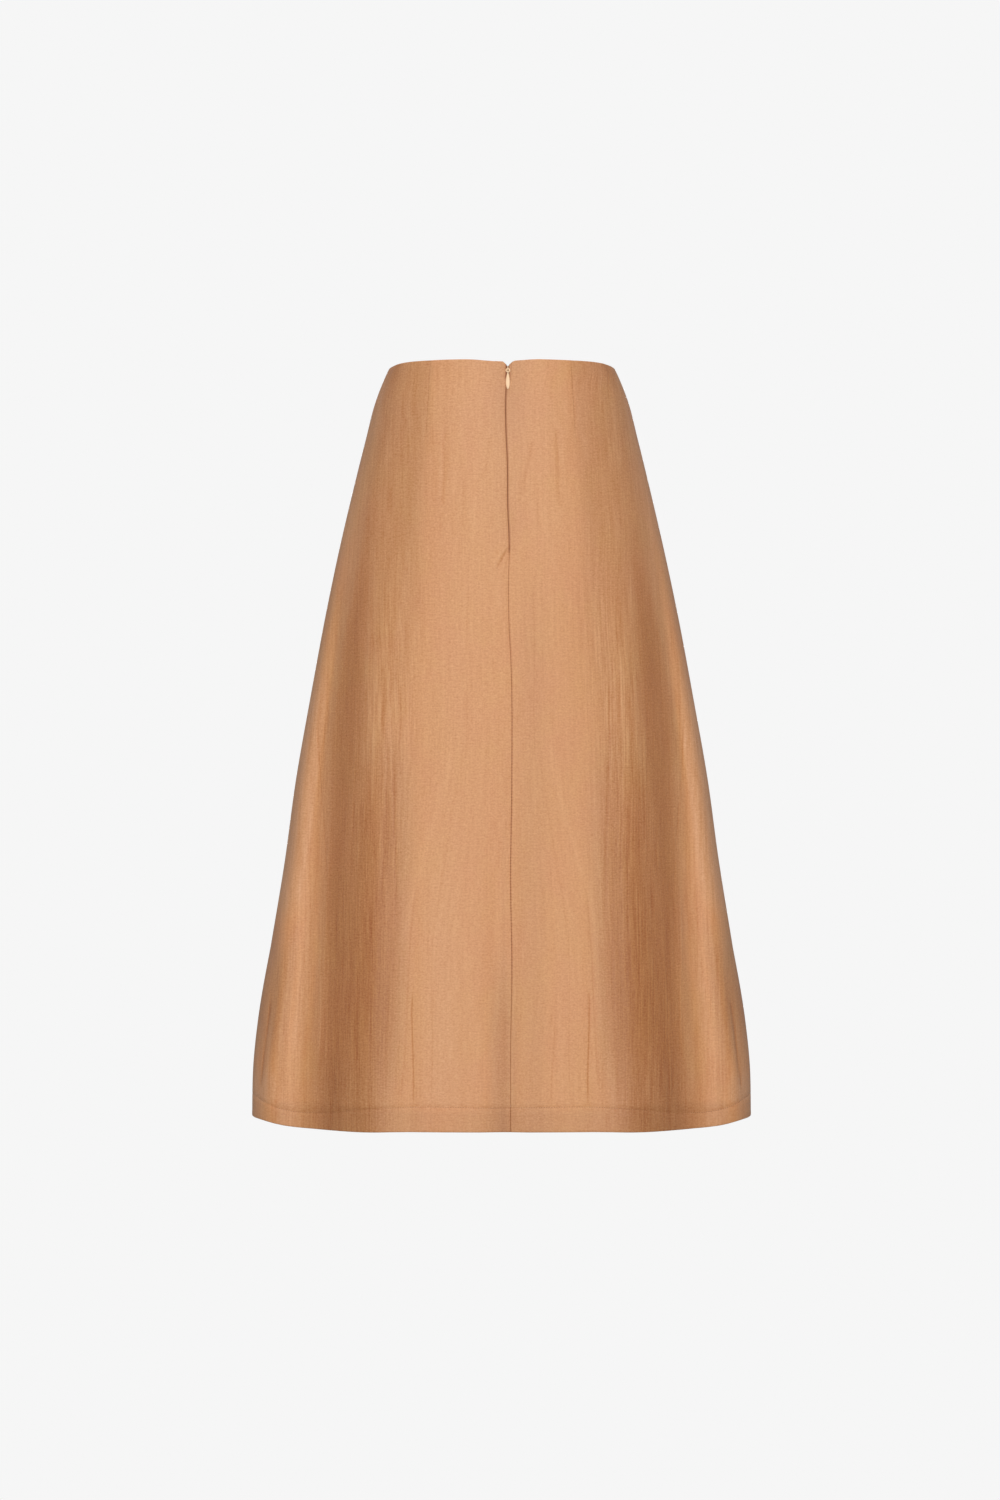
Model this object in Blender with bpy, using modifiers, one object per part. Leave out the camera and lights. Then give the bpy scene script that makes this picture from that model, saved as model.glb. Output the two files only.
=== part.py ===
"""A-line skirt, filled out as if worn: a hollow tube of three cloth panels with a concealed zip at the centre back.

The frame has +Z up, +X to the wearer's right and +Y to the wearer's front, so the back faces -Y. The origin is the
centre of the waist opening. A place on the cloth is given by its angle round the tube (0 at the centre back, 90
degrees at the wearer's right side, 180 at the centre front) and by its drop below the origin.
"""

import math
from collections import namedtuple

import bmesh
import bpy
import numpy as np

# ---- driving dimensions, in metres -------------------------------------------------------------------------------

LENGTH = 0.8026  # from the origin's level down to the hem
WALL = 0.0012  # cloth with its seam allowances pressed flat
HEM_WALL = 0.0024  # cloth turned up once
HEM_ALLOWANCE = 0.0255  # height of the turned-up hem
SEAM_GAP = 0.0003  # left between two panels at a seam
LAY_GAP = 0.0003  # left between pieces that lie on each other

SIDE_DIP = 0.0030  # the waist edge is this much lower at the sides
SIDE_DIP_SPREAD = math.radians(33)
BACK_DIP = 0.0025  # and a little lower at the centre back
BACK_DIP_SPREAD = math.radians(25)
CORNER_DIP = 0.0050  # the panels' top corners are rounded off beside the zip
CORNER_WIDTH = 0.0056
HEM_SIDE_LIFT = 0.0050  # the hem rises this much at the sides
HEM_SIDE_LEVEL = math.radians(13)  # it stays level this far round from each side, and comes down over the spread
HEM_SIDE_SPREAD = math.radians(17)
HEM_SAG = 0.0022  # and hangs a little lower on the bias, this far round from the sides
HEM_SAG_PLACE = math.radians(36)
HEM_SAG_SPREAD = math.radians(24)

ZIP_OPENING = 0.200  # length of the opening below the waist edge
ZIP_NECK_GAP = 0.0040  # the seam's edges part this far round the slider's neck
ZIP_CLOSED_GAP = 0.0005  # and this far along the closed zip
ZIP_NECK_DROP = 0.0161
ZIP_CLOSED_DROP = 0.0286
ZIP_END_RUN = 0.004  # the closed zip's gap narrows to a sewn seam over this
TAPE_WIDTH = 0.0125
TAPE_THICKNESS = 0.0010
TAPE_START = 0.0045  # drop of the tape's upper end
TAPE_PAST_OPENING = 0.022  # the tape runs on below the opening
TAPE_FROM_SEAM = 0.0023
TAPE_FROM_SEAM_AT_SLIDER = 0.0035
COIL_WIDTH = 0.0038
COIL_THICKNESS = 0.0016
COIL_START = 0.0164
COIL_PAST_OPENING = 0.010
ZIP_ROWS = 46

SLIDER_WIDTH = 0.0060
SLIDER_THICKNESS = 0.0034
SLIDER_HEIGHT = 0.0072
SLIDER_BELOW_BAIL = 0.0018  # the body's middle, below the bail's
SLIDER_BEVEL = 0.0008
SLIDER_CLEARANCE = 0.0006  # between the cloth's inner side and the slider's body
NECK_WIDTH = 0.0011
NECK_HEIGHT = 0.0052
NECK_INSET = 0.0004  # the neck's front edge lies this far behind the bail's centre
BAIL_DROP = 0.0106
BAIL_RADIUS = 0.0021
BAIL_WIRE = 0.00055
BAIL_OUT = 0.0006  # the bail's centre, in front of the cloth
HINGE_OUT = 0.0011  # the hinge axis, in front of the cloth

RING_RADIUS = 0.0018
RING_WIRE = 0.00055
TAB_LENGTH = 0.0188
TAB_WIDTH = 0.0041
TAB_THICKNESS = 0.0011
TAB_FULLNESS = 1.35  # above 1 the widest point moves down the drop shape
TAB_OUTLINE_POINTS = 22  # down one side

COLUMNS_BACK = 22
COLUMNS_FRONT = 40
ROWS = 29
HEM_FOLD_STEP = 0.0005  # the rows where the hem begins to be double are this far above and below its line
COLUMNS_AT_SEAM = (0.0, 0.0014, 0.0030, 0.0055)  # extra columns, by distance from the centre back seam
SIDE_SEAM_COLUMN = 0.0008  # an extra column this far from the side seam keeps the wall's edge square

# ---- tables: a row for each section, seam point or fold ------------------------------------------------------------

Section = namedtuple("Section", "drop half_width back_depth front_depth squareness")
SECTIONS = (
    Section(0.000, 0.1195, 0.0900, 0.0860, 2.35),
    Section(0.014, 0.1259, 0.0928, 0.0885, 2.35),
    Section(0.035, 0.1341, 0.0975, 0.0925, 2.35),
    Section(0.078, 0.1454, 0.1050, 0.0985, 2.30),
    Section(0.142, 0.1609, 0.1150, 0.1060, 2.30),
    Section(0.200, 0.1742, 0.1215, 0.1120, 2.30),
    Section(0.270, 0.1890, 0.1270, 0.1170, 2.30),
    Section(0.356, 0.2050, 0.1320, 0.1225, 2.35),
    Section(0.441, 0.2200, 0.1360, 0.1280, 2.40),
    Section(0.527, 0.2318, 0.1402, 0.1330, 2.45),
    Section(0.612, 0.2453, 0.1450, 0.1380, 2.50),
    Section(0.698, 0.2588, 0.1500, 0.1430, 2.55),
    Section(0.741, 0.2634, 0.1525, 0.1455, 2.60),
    Section(0.803, 0.2659, 0.1560, 0.1490, 2.60),
)

SeamPoint = namedtuple("SeamPoint", "drop side")
CENTRE_BACK_SEAM = (
    SeamPoint(0.000, 0.0062),
    SeamPoint(0.014, 0.0062),
    SeamPoint(0.027, 0.0044),
    SeamPoint(0.036, 0.0040),
    SeamPoint(0.065, 0.0040),
    SeamPoint(0.107, 0.0057),
    SeamPoint(0.149, 0.0060),
    SeamPoint(0.191, 0.0076),
    SeamPoint(0.240, 0.0068),
    SeamPoint(0.275, 0.0074),
    SeamPoint(0.310, 0.0092),
    SeamPoint(0.445, 0.0101),
    SeamPoint(0.540, 0.0088),
    SeamPoint(0.640, 0.0102),
    SeamPoint(0.710, 0.0090),
    SeamPoint(0.803, 0.0089),
)

# A fold is a soft trough pushed into the tube. Its middle line and the reach of its inner flank are shares of the
# half width there, with the wearer's right positive. Its outer flank reaches over a share of what is left to the
# side seam. It starts at one drop and deepens, fast and then slowly, to its depth at the hem.
Fold = namedtuple("Fold", "face start_drop place_at_start place_at_hem depth inner_reach outer_reach")
BACK, FRONT = -1, 1
FOLD_GROWTH = 2.2  # above 1 a fold gets most of its depth early
FOLDS = (
    Fold(BACK, 0.17, -0.918, -0.768, 0.0260, 0.30, 0.85),
    Fold(BACK, 0.17, 0.918, 0.768, 0.0260, 0.30, 0.85),
    Fold(BACK, 0.40, 0.02, 0.015, 0.0035, 0.11, 0.10),
    Fold(FRONT, 0.20, -0.900, -0.735, 0.0185, 0.32, 0.80),
    Fold(FRONT, 0.16, 0.900, 0.770, 0.0200, 0.35, 0.90),
    Fold(FRONT, 0.46, -0.190, -0.230, 0.0050, 0.16, 0.25),
    Fold(FRONT, 0.52, 0.240, 0.270, 0.0040, 0.18, 0.24),
)

CLOTH_COLOUR = (0.61, 0.315, 0.160)
TAPE_COLOUR = (0.60, 0.33, 0.18)
TAB_COLOUR = (0.86, 0.52, 0.28)


# ---- the cloth's surface -------------------------------------------------------------------------------------------


def table_value(rows, column, drop):
    """A column of a table at any drop, by a cubic through its rows with centred slopes."""
    at = np.array([row.drop for row in rows])
    value = np.array([getattr(row, column) for row in rows])
    slope = np.gradient(value, at)
    drop = np.clip(drop, at[0], at[-1])
    i = np.clip(np.searchsorted(at, drop, side="right") - 1, 0, len(at) - 2)
    span = at[i + 1] - at[i]
    t = (drop - at[i]) / span
    start = value[i] * (1 + 2 * t) * (1 - t) ** 2 + slope[i] * span * t * (1 - t) ** 2
    end = value[i + 1] * t**2 * (3 - 2 * t) + slope[i + 1] * span * t**2 * (t - 1)
    return start + end


def hump(distance, reach):
    """1 in the middle, falling to 0 at the reach, as a squared cosine."""
    t = np.clip(np.abs(distance) / reach, 0, 1)
    return np.cos(t * math.pi / 2) ** 2


def fold_push(fold, share, drop):
    """How far one fold pushes the cloth in, at a share of the half width."""
    down = np.clip((drop - fold.start_drop) / (LENGTH - fold.start_drop), 0, 1)
    middle = fold.place_at_start + (fold.place_at_hem - fold.place_at_start) * down
    outward = (share - middle) * (1 if fold.place_at_hem > 0 else -1)
    outer_reach = fold.outer_reach * (1 - np.abs(middle))
    reach = np.where(outward > 0, outer_reach, fold.inner_reach)
    grown = 1 - (1 - down) ** FOLD_GROWTH
    return fold.depth * grown * hump(outward, reach)


def surface(angle, drop):
    """The outer face of the cloth: a superellipse at each drop, with the folds pushed in."""
    half_width = table_value(SECTIONS, "half_width", drop)
    squareness = table_value(SECTIONS, "squareness", drop)
    at_back = np.cos(angle) > 0
    depth = np.where(
        at_back, table_value(SECTIONS, "back_depth", drop), table_value(SECTIONS, "front_depth", drop)
    )
    across = (np.abs(np.sin(angle)) / half_width) ** squareness
    along = (np.abs(np.cos(angle)) / depth) ** squareness
    radius = (across + along) ** (-1 / squareness)
    x = radius * np.sin(angle)
    y = -radius * np.cos(angle)
    for fold in FOLDS:
        push = fold_push(fold, x / half_width, drop)
        y = y - np.where(at_back == (fold.face == BACK), fold.face * push, 0)
    return np.stack([x, y, -drop + 0 * x], axis=-1)


def outward(angle, drop):
    """The surface's unit normal, from its slopes round and down."""
    step = 1e-4
    round_it = surface(angle + step, drop) - surface(angle - step, drop)
    down_it = surface(angle, drop + step) - surface(angle, drop - step)
    normal = np.cross(down_it, round_it)
    return normal / np.linalg.norm(normal, axis=-1, keepdims=True)


def seam_side(drop):
    """Sideways place of the centre back seam."""
    return table_value(CENTRE_BACK_SEAM, "side", drop)


def seam_gap(drop):
    """How far the two back panels are apart: wide at the slider's neck, then narrow, then a sewn seam."""
    stops = (0, ZIP_NECK_DROP, ZIP_CLOSED_DROP, ZIP_OPENING, ZIP_OPENING + ZIP_END_RUN)
    gaps = (ZIP_NECK_GAP, ZIP_NECK_GAP, ZIP_CLOSED_GAP, ZIP_CLOSED_GAP, SEAM_GAP)
    return np.interp(drop, stops, gaps)


def angle_beside_seam(drop, distance):
    """The angle of a place at a sideways distance from the centre back seam."""
    return np.arctan2(seam_side(drop) + distance, table_value(SECTIONS, "back_depth", drop))


def waist_edge(angle):
    """Drop of the waist edge."""
    from_side = np.abs(np.abs(angle - 2 * math.pi * (angle > math.pi)) - math.pi / 2)
    drop = SIDE_DIP * hump(from_side, SIDE_DIP_SPREAD) + BACK_DIP * hump(angle, BACK_DIP_SPREAD)
    from_seam = np.abs(SECTIONS[0].back_depth * np.tan(np.clip(angle, -1, 1)) - seam_side(0))
    corner = np.clip(1 - (from_seam - ZIP_NECK_GAP / 2) / CORNER_WIDTH, 0, 1)
    return drop + CORNER_DIP * corner**2


def hem_edge(angle):
    """Drop of the hem."""
    from_side = np.abs(np.abs(angle - 2 * math.pi * (angle > math.pi)) - math.pi / 2)
    sag = HEM_SAG * hump(from_side - HEM_SAG_PLACE, HEM_SAG_SPREAD)
    from_level = np.maximum(from_side - HEM_SIDE_LEVEL, 0)
    return LENGTH + sag - HEM_SIDE_LIFT * hump(from_level, HEM_SIDE_SPREAD)


# ---- building tools ------------------------------------------------------------------------------------------------


def clear_scene():
    for thing in list(bpy.data.objects):
        bpy.data.objects.remove(thing, do_unlink=True)


def new_collection(name):
    collection = bpy.data.collections.new(name)
    bpy.context.scene.collection.children.link(collection)
    return collection


def material(name, colour, roughness, metallic=0.0):
    made = bpy.data.materials.new(name)
    made.use_nodes = True
    shader = made.node_tree.nodes["Principled BSDF"]
    shader.inputs["Base Color"].default_value = (*colour, 1)
    shader.inputs["Roughness"].default_value = roughness
    shader.inputs["Metallic"].default_value = metallic
    return made


def keep(thing, collection, its_material):
    for other in list(thing.users_collection):
        other.objects.unlink(thing)
    collection.objects.link(thing)
    thing.data.materials.clear()
    thing.data.materials.append(its_material)


def lofted(name, points):
    """An open sheet through a grid of points. Rows run down, columns run round, and the faces point outward."""
    rows, columns = points.shape[:2]
    corner = np.arange(rows * columns).reshape(rows, columns)
    faces = np.stack([corner[:-1, :-1], corner[1:, :-1], corner[1:, 1:], corner[:-1, 1:]], axis=-1)
    mesh = bpy.data.meshes.new(name)
    mesh.from_pydata(points.reshape(-1, 3).tolist(), [], faces.reshape(-1, 4).tolist())
    mesh.shade_smooth()
    return bpy.data.objects.new(name, mesh)


def thicken(thing, thickness):
    """Gives a sheet its wall on the inner side, at the same thickness round every bend."""
    wall = thing.modifiers.new("Wall", "SOLIDIFY")
    wall.thickness = thickness
    wall.offset = -1
    wall.use_even_offset = True
    return wall


def unite(thing, *others):
    """Joins other solids into one, with Boolean unions applied to its mesh."""
    for other in others:
        union = thing.modifiers.new("Union", "BOOLEAN")
        union.operation = "UNION"
        union.object = other
    bpy.context.view_layer.update()
    graph = bpy.context.evaluated_depsgraph_get()
    mesh = bpy.data.meshes.new_from_object(thing.evaluated_get(graph))
    thing.modifiers.clear()
    thing.data = mesh
    for other in others:
        bpy.data.objects.remove(other, do_unlink=True)


def place_and_turn(thing, place, turn=(0, 0, 0)):
    """Puts a piece's place and turn into its mesh, so that its own origin stays at the world's."""
    thing.location = place
    thing.rotation_euler = turn
    bpy.context.view_layer.update()
    thing.data.transform(thing.matrix_world)
    thing.matrix_world.identity()


def box(name, size, centre):
    bpy.ops.mesh.primitive_cube_add(size=1)
    made = bpy.context.object
    made.name = name
    made.data.transform(made.matrix_world)
    made.scale = size
    place_and_turn(made, centre)
    made.scale = (1, 1, 1)
    return made


def ring(name, radius, wire, centre, turn):
    bpy.ops.mesh.primitive_torus_add(
        major_radius=radius, minor_radius=wire, major_segments=28, minor_segments=10
    )
    made = bpy.context.object
    made.name = name
    place_and_turn(made, centre, turn)
    return made


# ---- panels --------------------------------------------------------------------------------------------------------


def row_shares():
    """Shares of the way down from the waist edge to the hem: rows at the slider, even rows, and a close pair at the
    turned hem's line."""
    hem_line = 1 - HEM_ALLOWANCE / LENGTH
    step = HEM_FOLD_STEP / LENGTH
    even = np.linspace(ZIP_CLOSED_DROP / LENGTH, hem_line - step, ROWS)
    return np.concatenate([[0, ZIP_NECK_DROP / LENGTH], even, [hem_line + step, 1]])


def panel(name, angles, collection, cloth):
    """A cloth panel from a grid of angles, with a thicker wall along its turned-up hem."""
    share = row_shares()[:, None]
    top = waist_edge(angles[:1])
    drop = top + share * (hem_edge(angles[-1:]) - top)
    thing = lofted(name, surface(angles, drop))
    hem = thing.vertex_groups.new(name="hem")
    turned = np.nonzero(np.broadcast_to(share > 1 - HEM_ALLOWANCE / LENGTH, drop.shape).reshape(-1))[0]
    hem.add(turned.tolist(), 1.0, "REPLACE")
    wall = thicken(thing, HEM_WALL)
    wall.vertex_group = hem.name
    wall.thickness_vertex_group = WALL / HEM_WALL
    keep(thing, collection, cloth)
    return thing


def back_angles(side):
    """Angles of a back panel's grid, from the centre back seam to the side seam on one side."""
    drop = LENGTH * row_shares()[:, None]
    width = table_value(SECTIONS, "half_width", drop)
    near = angle_beside_seam(drop, side * (seam_gap(drop) / 2 + np.array(COLUMNS_AT_SEAM)))
    last = side * (math.pi / 2 - SEAM_GAP / 2 / width)
    beside = last - side * SIDE_SEAM_COLUMN / width
    share = np.linspace(0, 1, COLUMNS_BACK + 1)[1:]
    angles = np.concatenate([near, near[:, -1:] + (beside - near[:, -1:]) * share, last], axis=1)
    return angles if side > 0 else angles[:, ::-1]


def front_angles():
    """Angles of the front panel's grid, from the wearer's right side seam round to the left one."""
    drop = LENGTH * row_shares()[:, None]
    width = table_value(SECTIONS, "half_width", drop)
    first = math.pi / 2 + SEAM_GAP / 2 / width
    beside = first + SIDE_SEAM_COLUMN / width
    share = np.linspace(0, 1, COLUMNS_FRONT + 1)
    middle = beside + (2 * math.pi - 2 * beside) * share
    return np.concatenate([first, middle, 2 * math.pi - first], axis=1)


# ---- zip -----------------------------------------------------------------------------------------------------------


def inside_strip(name, drops, first, last, columns, inset):
    """A sheet that follows the inner side of the cloth beside the centre back seam."""
    drop = drops[:, None]
    share = np.linspace(0, 1, columns)
    angle = angle_beside_seam(drop, first + (last - first) * share)
    drop = drop + 0 * angle
    return lofted(name, surface(angle, drop) - inset * outward(angle, drop))


def zip_tape(name, side, collection, cloth):
    drops = np.linspace(TAPE_START, ZIP_OPENING + TAPE_PAST_OPENING, ZIP_ROWS)
    inner = np.interp(
        drops, (ZIP_NECK_DROP, ZIP_CLOSED_DROP), (TAPE_FROM_SEAM_AT_SLIDER, TAPE_FROM_SEAM)
    )[:, None]
    outer = np.full_like(inner, TAPE_WIDTH)
    first, last = (inner, outer) if side > 0 else (-outer, -inner)
    thing = inside_strip(name, drops, first, last, 4, WALL + LAY_GAP)
    thicken(thing, TAPE_THICKNESS)
    keep(thing, collection, cloth)


def zip_coil(name, collection, cloth):
    drops = np.linspace(COIL_START, ZIP_OPENING + COIL_PAST_OPENING, ZIP_ROWS)
    half = COIL_WIDTH / 2
    thing = inside_strip(name, drops, -half, half, 3, WALL + LAY_GAP)
    thicken(thing, COIL_THICKNESS)
    keep(thing, collection, cloth)


def bail_centre():
    """The middle of the slider's bail, in front of the seam."""
    angle = angle_beside_seam(BAIL_DROP, 0)
    return surface(angle, BAIL_DROP) + BAIL_OUT * np.array([0, -1, 0])


def hinge_point():
    """The middle of the pull tab's hinge axis."""
    return bail_centre() + np.array([0, BAIL_OUT - HINGE_OUT, 0])


def tab_lean():
    """How far the hanging tab leans out, to lie along the cloth below the bail."""
    foot = BAIL_DROP + 2 * RING_RADIUS + TAB_LENGTH
    angle = angle_beside_seam(foot, 0)
    run = bail_centre()[1] + BAIL_OUT - surface(angle, foot)[1]
    return math.atan2(run, foot - BAIL_DROP)


def zip_slider(name, collection, metal):
    """A rounded body behind the cloth, a thin neck through the seam, and the bail in front."""
    x, y, z = bail_centre()
    body_front = y + BAIL_OUT + WALL + LAY_GAP + SLIDER_CLEARANCE
    body_middle = body_front + SLIDER_THICKNESS / 2
    thing = box(name, (SLIDER_WIDTH, SLIDER_THICKNESS, SLIDER_HEIGHT), (x, body_middle, z - SLIDER_BELOW_BAIL))
    rounding = thing.modifiers.new("Rounding", "BEVEL")
    rounding.width = SLIDER_BEVEL
    rounding.segments = 2
    neck_front = y + NECK_INSET
    neck_length = body_middle - neck_front
    neck = box("neck", (NECK_WIDTH, neck_length, NECK_HEIGHT), (x, neck_front + neck_length / 2, z))
    bail = ring("bail", BAIL_RADIUS, BAIL_WIRE, (x, y, z), (0, math.pi / 2, 0))
    unite(thing, neck, bail)
    keep(thing, collection, metal)


def drop_outline():
    """Half widths and heights of the drop-shaped tab: the square root of a sine, fuller low down."""
    t = (1 - np.cos(np.linspace(0, math.pi, TAB_OUTLINE_POINTS))) / 2
    half = TAB_WIDTH / 2 * np.sqrt(np.abs(np.sin(math.pi * t**TAB_FULLNESS)))
    down = 2 * RING_RADIUS + t * TAB_LENGTH
    right = np.stack([half, -down], axis=-1)
    left = right[-2:0:-1] * (-1, 1)
    return np.concatenate([right, left])


def pull_tab(name, collection, metal):
    """An eyelet and a drop-shaped plate, hung on the hinge axis and leaning along the cloth."""
    curve = bpy.data.curves.new(name, "CURVE")
    curve.dimensions = "2D"
    curve.fill_mode = "BOTH"
    curve.extrude = TAB_THICKNESS / 2
    outline = drop_outline()
    line = curve.splines.new("POLY")
    line.points.add(len(outline) - 1)
    for point, (across, up) in zip(line.points, outline):
        point.co = (across, up, 0, 1)
    line.use_cyclic_u = True
    flat = bpy.data.objects.new(name, curve)
    collection.objects.link(flat)
    bpy.context.view_layer.update()
    graph = bpy.context.evaluated_depsgraph_get()
    mesh = bpy.data.meshes.new_from_object(flat.evaluated_get(graph))
    welded = bmesh.new()
    welded.from_mesh(mesh)
    bmesh.ops.remove_doubles(welded, verts=welded.verts, dist=1e-6)
    bmesh.ops.recalc_face_normals(welded, faces=welded.faces)
    welded.to_mesh(mesh)
    welded.free()
    bpy.data.objects.remove(flat, do_unlink=True)
    thing = bpy.data.objects.new(name, mesh)
    collection.objects.link(thing)
    eyelet = ring("eyelet", RING_RADIUS, RING_WIRE, (0, -RING_RADIUS, 0), (0, 0, 0))
    unite(thing, eyelet)
    upright = math.pi / 2
    place_and_turn(thing, (0, 0, 0), (upright - tab_lean(), 0, 0))
    thing.location = hinge_point()
    keep(thing, collection, metal)


# ---- the whole skirt -----------------------------------------------------------------------------------------------


def main():
    clear_scene()
    skirt = new_collection("a_line_skirt")
    cloth = material("cloth", CLOTH_COLOUR, 0.75)
    tape = material("zip_tape", TAPE_COLOUR, 0.8)
    enamel = material("zip_enamel", TAB_COLOUR, 0.35)
    panel("front_panel", front_angles(), skirt, cloth)
    panel("back_left_panel", back_angles(-1), skirt, cloth)
    panel("back_right_panel", back_angles(1), skirt, cloth)
    zip_tape("zip_tape_left", -1, skirt, tape)
    zip_tape("zip_tape_right", 1, skirt, tape)
    zip_coil("zip_coil", skirt, tape)
    zip_slider("zip_slider", skirt, enamel)
    pull_tab("pull_tab", skirt, enamel)


main()
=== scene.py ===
"""Looks for the a-line skirt: its cloth, sewing, zip and studio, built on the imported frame.

The frame has +Z up, +X to the wearer's right and +Y to the wearer's front. The origin is the centre of the
waist opening. A place on the cloth is an angle round the tube (0 at the centre back, 90 degrees at the
wearer's right side, 180 at the centre front) and a drop below the origin.
"""

import math
from collections import namedtuple

import bmesh
import bpy
import numpy as np
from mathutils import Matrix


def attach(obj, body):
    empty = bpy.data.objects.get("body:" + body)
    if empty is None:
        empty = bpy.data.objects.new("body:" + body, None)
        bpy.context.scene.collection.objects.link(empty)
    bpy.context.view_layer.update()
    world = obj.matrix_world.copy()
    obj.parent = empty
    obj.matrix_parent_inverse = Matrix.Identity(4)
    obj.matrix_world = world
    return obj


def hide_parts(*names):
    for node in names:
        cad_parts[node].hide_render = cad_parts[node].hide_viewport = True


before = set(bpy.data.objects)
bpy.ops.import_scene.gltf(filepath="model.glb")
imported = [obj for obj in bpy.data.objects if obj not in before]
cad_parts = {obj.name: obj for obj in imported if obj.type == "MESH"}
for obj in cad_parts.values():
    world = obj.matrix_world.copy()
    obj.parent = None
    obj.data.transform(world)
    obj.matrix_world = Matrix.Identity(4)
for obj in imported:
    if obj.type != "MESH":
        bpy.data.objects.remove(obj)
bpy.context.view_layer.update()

bl_info = {
    "name": "A-line skirt",
    "version": (1, 0, 0),
    "blender": (4, 5, 0),
    "location": "3D View > Sidebar > Skirt",
    "description": "Cloth, sewing, zip and studio of an a-line skirt",
    "category": "Object",
}

POLE_SIZE = 2.5e-5


def table(columns, *rows):
    """A table: rows of values under named columns."""
    row = namedtuple("Row", columns)
    return tuple(row(*values) for values in rows)


# ---- the cut, in metres ------------------------------------------

LENGTH = 0.8026
SEAM_GAP = 0.00004
SIDE_DIP, SIDE_DIP_SPREAD = 0.0030, math.radians(33)
BACK_DIP, BACK_DIP_SPREAD = 0.0025, math.radians(25)
CORNER_DIP, LEFT_CORNER, RIGHT_CORNER = 0.0042, 0.0050, 0.0066
HEM_SIDE_LIFT, HEM_SIDE_LEVEL, HEM_SIDE_SPREAD = 0.0050, math.radians(13), math.radians(17)
HEM_SAG, HEM_SAG_PLACE, HEM_SAG_SPREAD = 0.0022, math.radians(36), math.radians(24)
ZIP_OPENING = 0.200
ZIP_NECK_GAP, ZIP_CLOSED_GAP, SEWN_GAP = 0.0030, 0.00014, 0.00004
ZIP_NECK_DROP, ZIP_CLOSED_DROP, ZIP_END_RUN = 0.0138, 0.0215, 0.004

SECTIONS = table(
    "drop half_width back_depth front_depth squareness",
    (0.000, 0.1195, 0.0900, 0.0860, 2.35),
    (0.014, 0.1259, 0.0928, 0.0885, 2.35),
    (0.035, 0.1341, 0.0975, 0.0925, 2.35),
    (0.078, 0.1454, 0.1050, 0.0985, 2.30),
    (0.142, 0.1609, 0.1150, 0.1060, 2.30),
    (0.200, 0.1742, 0.1215, 0.1120, 2.30),
    (0.270, 0.1890, 0.1270, 0.1170, 2.30),
    (0.356, 0.2050, 0.1320, 0.1225, 2.35),
    (0.441, 0.2200, 0.1360, 0.1280, 2.40),
    (0.527, 0.2318, 0.1402, 0.1330, 2.45),
    (0.612, 0.2453, 0.1450, 0.1380, 2.50),
    (0.698, 0.2588, 0.1500, 0.1430, 2.55),
    (0.741, 0.2634, 0.1525, 0.1455, 2.60),
    (0.803, 0.2659, 0.1560, 0.1490, 2.60),
)

CENTRE_BACK_SEAM = table(
    "drop side",
    (0.000, 0.0062),
    (0.014, 0.0062),
    (0.027, 0.0044),
    (0.036, 0.0040),
    (0.065, 0.0040),
    (0.107, 0.0057),
    (0.149, 0.0060),
    (0.191, 0.0076),
    (0.240, 0.0068),
    (0.275, 0.0074),
    (0.310, 0.0092),
    (0.445, 0.0101),
    (0.540, 0.0088),
    (0.640, 0.0102),
    (0.710, 0.0090),
    (0.803, 0.0089),
)

# Height of the hem's line of stitches above the edge, by how many degrees it is from the nearer side seam.
HEM_LINE = table(
    "degrees height",
    (0, 0.0235),
    (12, 0.0225),
    (19, 0.0180),
    (38, 0.0190),
    (43, 0.0225),
    (52, 0.0248),
    (90, 0.0248),
)

BACK, FRONT = -1, 1
FOLD_GROWTH = 2.2
FOLDS = table(
    "face start_drop place_at_start place_at_hem depth inner_reach outer_reach",
    (BACK, 0.17, -0.918, -0.768, 0.0260, 0.30, 0.85),
    (BACK, 0.17, 0.918, 0.768, 0.0260, 0.30, 0.85),
    (BACK, 0.40, 0.02, 0.015, 0.0035, 0.11, 0.10),
    (FRONT, 0.20, -0.900, -0.735, 0.0185, 0.32, 0.80),
    (FRONT, 0.16, 0.900, 0.770, 0.0200, 0.35, 0.90),
    (FRONT, 0.46, -0.190, -0.230, 0.0050, 0.16, 0.25),
    (FRONT, 0.52, 0.240, 0.270, 0.0040, 0.18, 0.24),
)

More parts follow.
